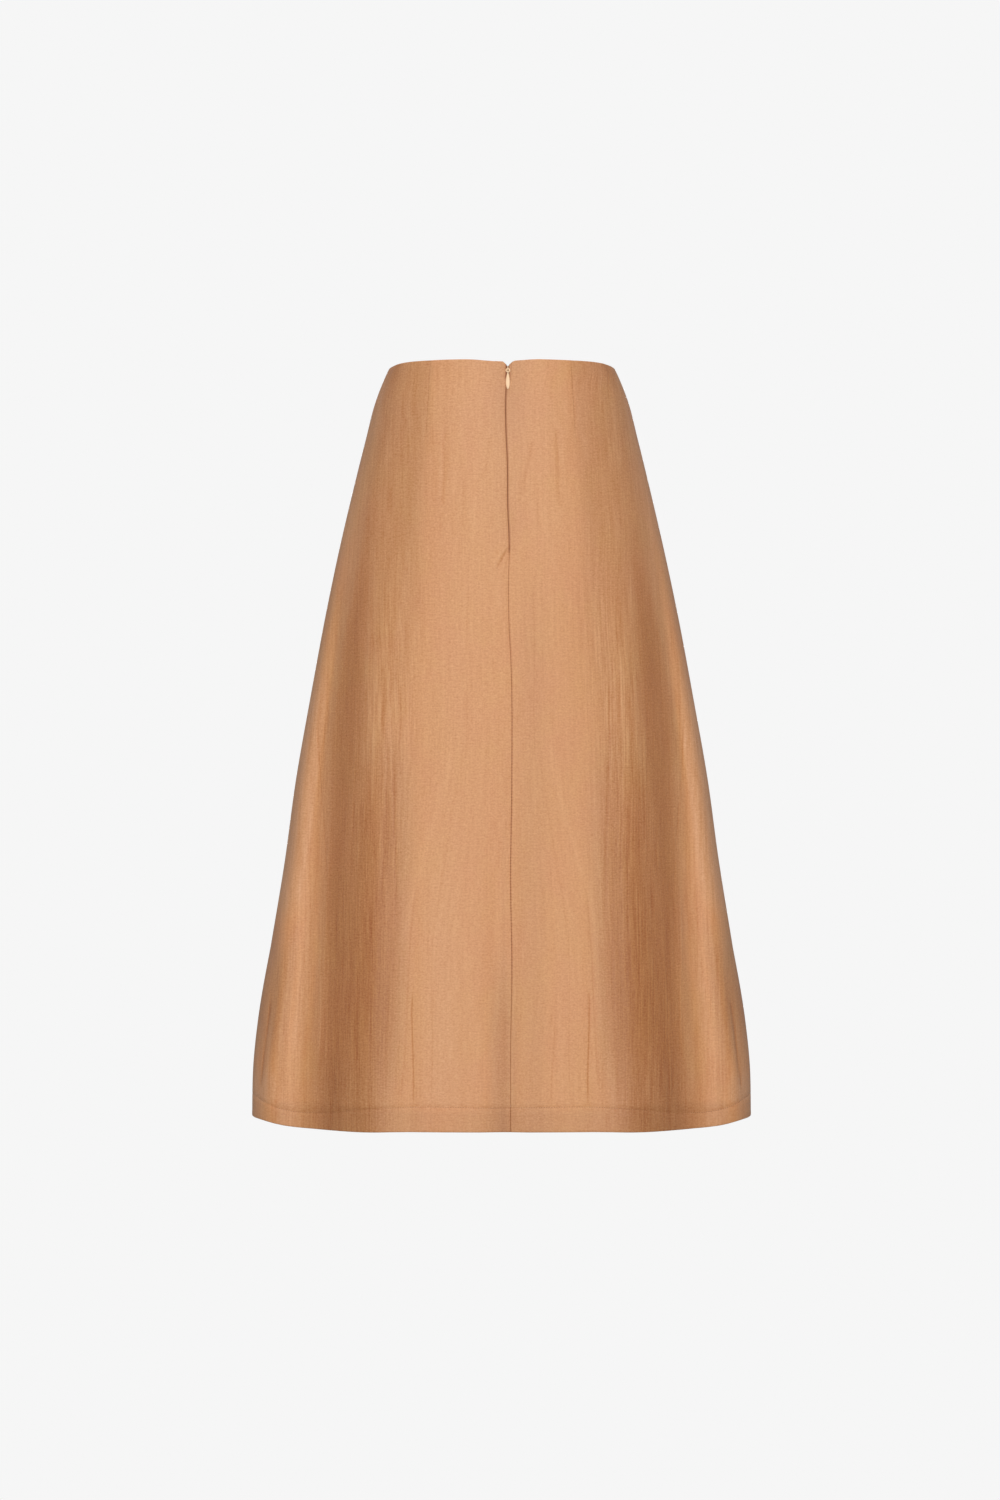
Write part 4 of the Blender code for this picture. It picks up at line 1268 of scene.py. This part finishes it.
def colour_prop(name, description, default):
    """A colour."""
    return bpy.props.FloatVectorProperty(
        name=name, description=description, default=default, size=3, subtype="COLOR", min=0, max=1
    )


class SkirtCloth(bpy.types.PropertyGroup):
    """Sizes and colours of the cloth."""

    thickness: length_prop("Thickness", "Thickness of one layer of cloth", 0.00045)
    seam_allowance: length_prop("Seam allowance", "Width turned in beside each seam", 0.012)
    waist_turn: length_prop("Waist turning", "Width turned in along the waist edge", 0.012)
    hem_turn: length_prop("Hem", "Height of the turned-up hem", 0.0255)
    turn_depth: length_prop("Turning depth", "How deep the allowances lie behind the face", 0.00105)
    hem_depth: length_prop("Hem depth", "How deep the turned-up hem lies behind the face", 0.00175)
    thread_pitch: length_prop("Thread pitch", "Distance between neighbouring threads", 0.00042)
    weave_height: length_prop("Weave height", "Height of the weave's threads", 0.00005)
    relief: share_prop("Creases", "Strength of the creases and ripples", 1.0, 2.0)
    shade: share_prop("Depth of tone", "How strongly tone is painted in the flutes", 0.62)
    grain: share_prop("Grain", "Strength of the flecks and slubs", 0.79)
    sheen: share_prop("Sheen", "Strength of the dry sheen", 0.06)
    gloss: share_prop("Gloss", "Strength of the soft highlight", 1.0)
    roughness: share_prop("Roughness", "Roughness of the soft highlight", 0.47)
    colour: colour_prop("Colour", "Main colour", (0.703, 0.342, 0.148))
    pink: colour_prop("Pink cast", "Colour of the pinker patches", (0.699, 0.322, 0.148))
    yellow: colour_prop("Yellow cast", "Colour of the yellower patches", (0.706, 0.359, 0.144))
    # Half tone and deep tone are colours of painted shade, pale tone the colour of painted light. Flecks are
    # the grain with painted shade in the streaks, and seam is painted shade at the centre back seam.
    shadow: colour_prop("Half tone", "Colour of cloth that is a little deepened", (0.371, 0.168, 0.066))
    deep: colour_prop("Deep tone", "Colour of cloth in the depth of flutes", (0.364, 0.105, 0.006))
    fleck: colour_prop("Flecks", "How dark each colour gets in flecks", (0.670, 0.390, 0.000))
    pale: colour_prop("Pale tone", "Colour of cloth with less than no tone", (0.731, 0.376, 0.197))
    seam: colour_prop("Seam", "How dark each colour gets at the seam", (0.440, 0.190, 0.000))


class SkirtSewing(bpy.types.PropertyGroup):
    """Sizes and colour of the sewing."""

    stitch: length_prop("Stitch", "Length of a stitch that shows", 0.0013)
    gap: length_prop("Gap", "Length between two stitches", 0.0013)
    thread: length_prop("Thread", "Radius of the thread", 0.00022)
    thread_colour: colour_prop("Thread colour", "Colour of the thread", (0.36, 0.15, 0.06))


class SkirtZip(bpy.types.PropertyGroup):
    """Sizes and colours of the zip."""

    tape_thickness: length_prop("Tape thickness", "Thickness of the zip's tapes", 0.0005)
    coil_pitch: length_prop("Coil pitch", "Distance between turns on one side", 0.0012)
    coil_wire: length_prop("Coil filament", "Radius of the coil's filament", 0.00026)
    tab_thickness: length_prop("Tab thickness", "Thickness of the pull tab", 0.0011)
    tape_colour: colour_prop("Tape colour", "Colour of tapes and coil", (0.60, 0.30, 0.145))
    enamel_colour: colour_prop("Enamel colour", "Colour of slider and tab", (1.0, 0.70, 0.43))


class SkirtStage(bpy.types.PropertyGroup):
    """Studio light and surroundings."""

    backdrop: share_prop("Backdrop", "Brightness of the floor and backdrop", 0.9216)
    key: power_prop("Main light", "Power of the light in front", 154)
    side: power_prop("Side lights", "Power of each side light", 10)
    top: power_prop("Top light", "Power of the light above", 40)
    rear: power_prop("Rear light", "Power of the light behind", 110)
    fill: share_prop("Fill", "Brightness of the light from all round", 0.22)


CAMERA_PLACE, CAMERA_LENS, SENSOR_WIDTH = (-0.0019, -4.0, -0.4092), 89.72, 36.0
FLOOR, FLOOR_RING, FLOOR_RADIUS, COVE, WALL_HEIGHT = -2.4, 3.0, 8.0, 1.5, 1.5
QUARTER = math.pi / 2
LAMPS = table(
    "name power size place turn",
    ("main_light", "key", (1.3, 2.4), (0, -4.6, 0.25), (QUARTER, 0, 0)),
    ("rear_light", "rear", (1.6, 2.4), (0, 4.6, -0.1), (-QUARTER, 0, 0)),
    ("top_light", "top", (1.2, 1.2), (0, 0, 3.0), (0, 0, 0)),
    ("right_light", "side", (0.8, 2.2), (3.2, 0.6, -0.2), (QUARTER, 0, QUARTER)),
    ("left_light", "side", (0.8, 2.2), (-3.2, 0.6, -0.2), (QUARTER, 0, -QUARTER)),
)

# ---- operators ---------------------------------------------------


class SKIRT_OT_panels(bpy.types.Operator):
    """Cut and hang the front, the two backs and the intakes of their darts"""

    bl_idname = "skirt.panels"
    bl_label = "Cloth panels"

    def execute(self, context):
        cloth = context.scene.skirt_cloth
        back = woven_cloth("cloth_of_back", cloth, BACK_LINES)
        front = woven_cloth("cloth_of_front", cloth, FRONT_LINES)
        left, right, whole = (
            cloth_panel(cloth, panel, back if panel.face == BACK else front) for panel in PANELS
        )
        flaps = dart_flaps(cloth, back)
        return {"FINISHED"}


class SKIRT_OT_sewing(bpy.types.Operator):
    """Sew the hem's line of stitches"""

    bl_idname = "skirt.sewing"
    bl_label = "Hem stitches"

    def execute(self, context):
        sewing = context.scene.skirt_sewing
        finish = thread_finish(sewing)
        side = math.pi / 2
        stretches = (
            (SIDE_BREAK - side, LINE_LEFT),
            (LINE_RIGHT, side - SIDE_BREAK),
            (side + SIDE_BREAK, 3 * side - SIDE_BREAK),
        )
        rows = [stitch_row(*hem_line(first, last), sewing) for first, last in stretches]
        close_poles(new_piece("hem_stitches", *joined(*rows), "skirt", "cloth", finish))
        close_poles(new_piece("zip_end_tack", *end_tack(sewing.thread), "skirt", "cloth", finish))
        return {"FINISHED"}


class SKIRT_OT_zip_tapes(bpy.types.Operator):
    """Sew the zip's two tapes behind the centre back seam, with the coil on them"""

    bl_idname = "skirt.zip_tapes"
    bl_label = "Zip tapes and coil"

    def execute(self, context):
        settings = context.scene.skirt_zip
        filament = filament_finish(settings)
        coil = new_piece("zip_coil_turns", *coil_turns(settings), "skirt", "zip_coil", filament)
        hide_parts("zip_coil")
        tape = tape_finish(settings)
        zip_tape("tape_left", settings, -1, "zip_tape_left", tape)
        zip_tape("tape_right", settings, 1, "zip_tape_right", tape)
        return {"FINISHED"}


class SKIRT_OT_zip_slider(bpy.types.Operator):
    """Make the slider: a soft-edged body behind the cloth, a neck through the seam and a bail in front"""

    bl_idname = "skirt.zip_slider"
    bl_label = "Zip slider"

    def execute(self, context):
        x, y, z = bail_centre()
        front = y + BAIL_OUT + SLIDER_INSET
        middle, plate = z - SLIDER_BELOW_BAIL, (SLIDER_WIDTH, SLIDER_PLATE, SLIDER_HEIGHT)
        rear = front + SLIDER_THICKNESS - SLIDER_PLATE / 2
        core = (CORE_WIDTH, CORE_THICKNESS, CORE_HEIGHT)
        core_place = (x, front + SLIDER_THICKNESS / 2, middle + CORE_RISE)
        neck_front, neck_back = y + NECK_INSET, front + SLIDER_PLATE
        neck = (NECK_WIDTH, neck_back - neck_front, NECK_HEIGHT)
        bail, faces = ring_shape(BAIL_RADIUS, BAIL_WIRE, 0.9, 40, 14)
        shapes = (
            placed(rounded_block(plate, 0.35, 21, 32), (x, front + SLIDER_PLATE / 2, middle)),
            placed(rounded_block(plate, 0.35, 21, 32), (x, rear, middle)),
            placed(rounded_block(core, 0.4, 17, 24), core_place),
            placed(rounded_block(neck, 0.3, 17, 24), (x, (neck_front + neck_back) / 2, z)),
            placed((bail[..., [2, 0, 1]], faces), (x, y, z)),
        )
        finish = enamel_finish(context.scene.skirt_zip)
        slider = new_piece("slider_with_bail", *joined(*shapes), "skirt", "zip_enamel", finish)
        close_poles(slider)
        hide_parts("zip_slider")
        return {"FINISHED"}


class SKIRT_OT_pull_tab(bpy.types.Operator):
    """Hang the pull tab, an eyelet with a drop-shaped plate, on the slider's bail"""

    bl_idname = "skirt.pull_tab"
    bl_label = "Pull tab"

    def execute(self, context):
        settings = context.scene.skirt_zip
        eyelet, faces = ring_shape(RING_RADIUS, RING_WIRE, 0.95, 40, 16)
        eyelet = (eyelet + np.array([0, -RING_RADIUS, 0]), faces)
        hinge = bail_centre() + np.array([0, BAIL_OUT - HINGE_OUT, 0])
        turn = math.pi / 2 - tab_lean()
        shapes = (placed(eyelet, hinge, turn), placed(tab_shape(settings.tab_thickness), hinge, turn))
        tab = new_piece("drop_tab", *joined(*shapes), "pull_tab", "zip_enamel", enamel_finish(settings))
        close_poles(tab)
        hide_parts("pull_tab")
        return {"FINISHED"}


class SKIRT_OT_stage(bpy.types.Operator):
    """Set up the camera, a plain pale floor with a round backdrop, and soft studio light"""

    bl_idname = "skirt.stage"
    bl_label = "Studio"

    def execute(self, context):
        stage = context.scene.skirt_stage
        eye = bpy.data.cameras.new("camera")
        eye.sensor_width, eye.lens = SENSOR_WIDTH, CAMERA_LENS
        camera = bpy.data.objects.new("camera", eye)
        camera.location, camera.rotation_euler = CAMERA_PLACE, (QUARTER, 0, 0)
        context.scene.collection.objects.link(camera)
        context.scene.camera = camera
        self.backdrop(context, stage.backdrop)
        for lamp in LAMPS:
            light = bpy.data.lights.new(lamp.name, "AREA")
            light.shape, light.energy = "RECTANGLE", getattr(stage, lamp.power)
            light.size, light.size_y = lamp.size
            holder = bpy.data.objects.new(lamp.name, light)
            holder.location, holder.rotation_euler = lamp.place, lamp.turn
            holder.visible_camera = False
            context.scene.collection.objects.link(holder)
        world = bpy.data.worlds.new("studio")
        world.use_nodes = True
        sky = world.node_tree.nodes["Background"]
        sky.inputs["Color"].default_value = (stage.fill, stage.fill, stage.fill, 1)
        context.scene.world = world
        context.scene.view_settings.view_transform = "Standard"
        return {"FINISHED"}

    def backdrop(self, context, glow):
        """A flat floor that curves up into a round wall and a dome: one profile turned about the vertical."""
        bend, dome = np.linspace(0, QUARTER, 10), np.linspace(0, QUARTER, 14)[1:]
        cove_reach, cove_height = FLOOR_RADIUS - COVE + COVE * np.sin(bend), COVE * (1 - np.cos(bend))
        dome_height = COVE + WALL_HEIGHT + (FLOOR_RADIUS - WALL_HEIGHT) * np.sin(dome)
        reach = np.concatenate([[0, FLOOR_RING], cove_reach, FLOOR_RADIUS * np.cos(dome)])[:, None]
        height = FLOOR + np.concatenate([[0, 0], cove_height, dome_height])[:, None]
        turn = round_turn(64)
        points = np.stack([reach * np.cos(turn), reach * np.sin(turn), height + 0 * turn], axis=-1)
        mesh = bpy.data.meshes.new("floor_and_backdrop")
        faces = grid_faces(*points.shape[:2], wrap_columns=True)
        mesh.from_pydata(points.reshape(-1, 3).tolist(), [], faces.tolist())
        sweep = bpy.data.objects.new("floor_and_backdrop", mesh)
        close_poles(sweep)
        context.scene.collection.objects.link(sweep)
        paper = Bench(
            "pale_paper",
            Base_Color=(0, 0, 0, 1),
            Roughness=1.0,
            Specular_IOR_Level=0.0,
            Emission_Color=(glow, glow, glow, 1),
            Emission_Strength=1.0,
        )
        mesh.materials.append(paper.material)
        for ray in ("visible_diffuse", "visible_glossy", "visible_transmission", "visible_shadow"):
            setattr(sweep, ray, False)


class SKIRT_PT_panel(bpy.types.Panel):
    """Lists the skirt's pieces and their settings"""

    bl_idname = "SKIRT_PT_panel"
    bl_label = "A-line skirt"
    bl_space_type = "VIEW_3D"
    bl_region_type = "UI"
    bl_category = "Skirt"

    def draw(self, context):
        for operator in OPERATORS:
            self.layout.operator(operator.bl_idname)
        for name, _ in SETTINGS:
            box = self.layout.box()
            group = getattr(context.scene, name)
            for prop in group.bl_rna.properties:
                if prop.identifier not in ("name", "rna_type"):
                    box.prop(group, prop.identifier)


SETTINGS = (
    ("skirt_cloth", SkirtCloth),
    ("skirt_sewing", SkirtSewing),
    ("skirt_zip", SkirtZip),
    ("skirt_stage", SkirtStage),
)
OPERATORS = (
    SKIRT_OT_panels,
    SKIRT_OT_sewing,
    SKIRT_OT_zip_tapes,
    SKIRT_OT_zip_slider,
    SKIRT_OT_pull_tab,
    SKIRT_OT_stage,
)


def register():
    for name, group in SETTINGS:
        bpy.utils.register_class(group)
        setattr(bpy.types.Scene, name, bpy.props.PointerProperty(type=group))
    for made in (*OPERATORS, SKIRT_PT_panel):
        bpy.utils.register_class(made)


def unregister():
    for made in reversed((*OPERATORS, SKIRT_PT_panel)):
        bpy.utils.unregister_class(made)
    for name, group in reversed(SETTINGS):
        delattr(bpy.types.Scene, name)
        bpy.utils.unregister_class(group)


def main():
    register()
    bpy.ops.skirt.panels()
    bpy.ops.skirt.sewing()
    bpy.ops.skirt.zip_tapes()
    bpy.ops.skirt.zip_slider()
    bpy.ops.skirt.pull_tab()
    bpy.ops.skirt.stage()
    bpy.context.view_layer.update()


if __name__ == "__main__":
    main()
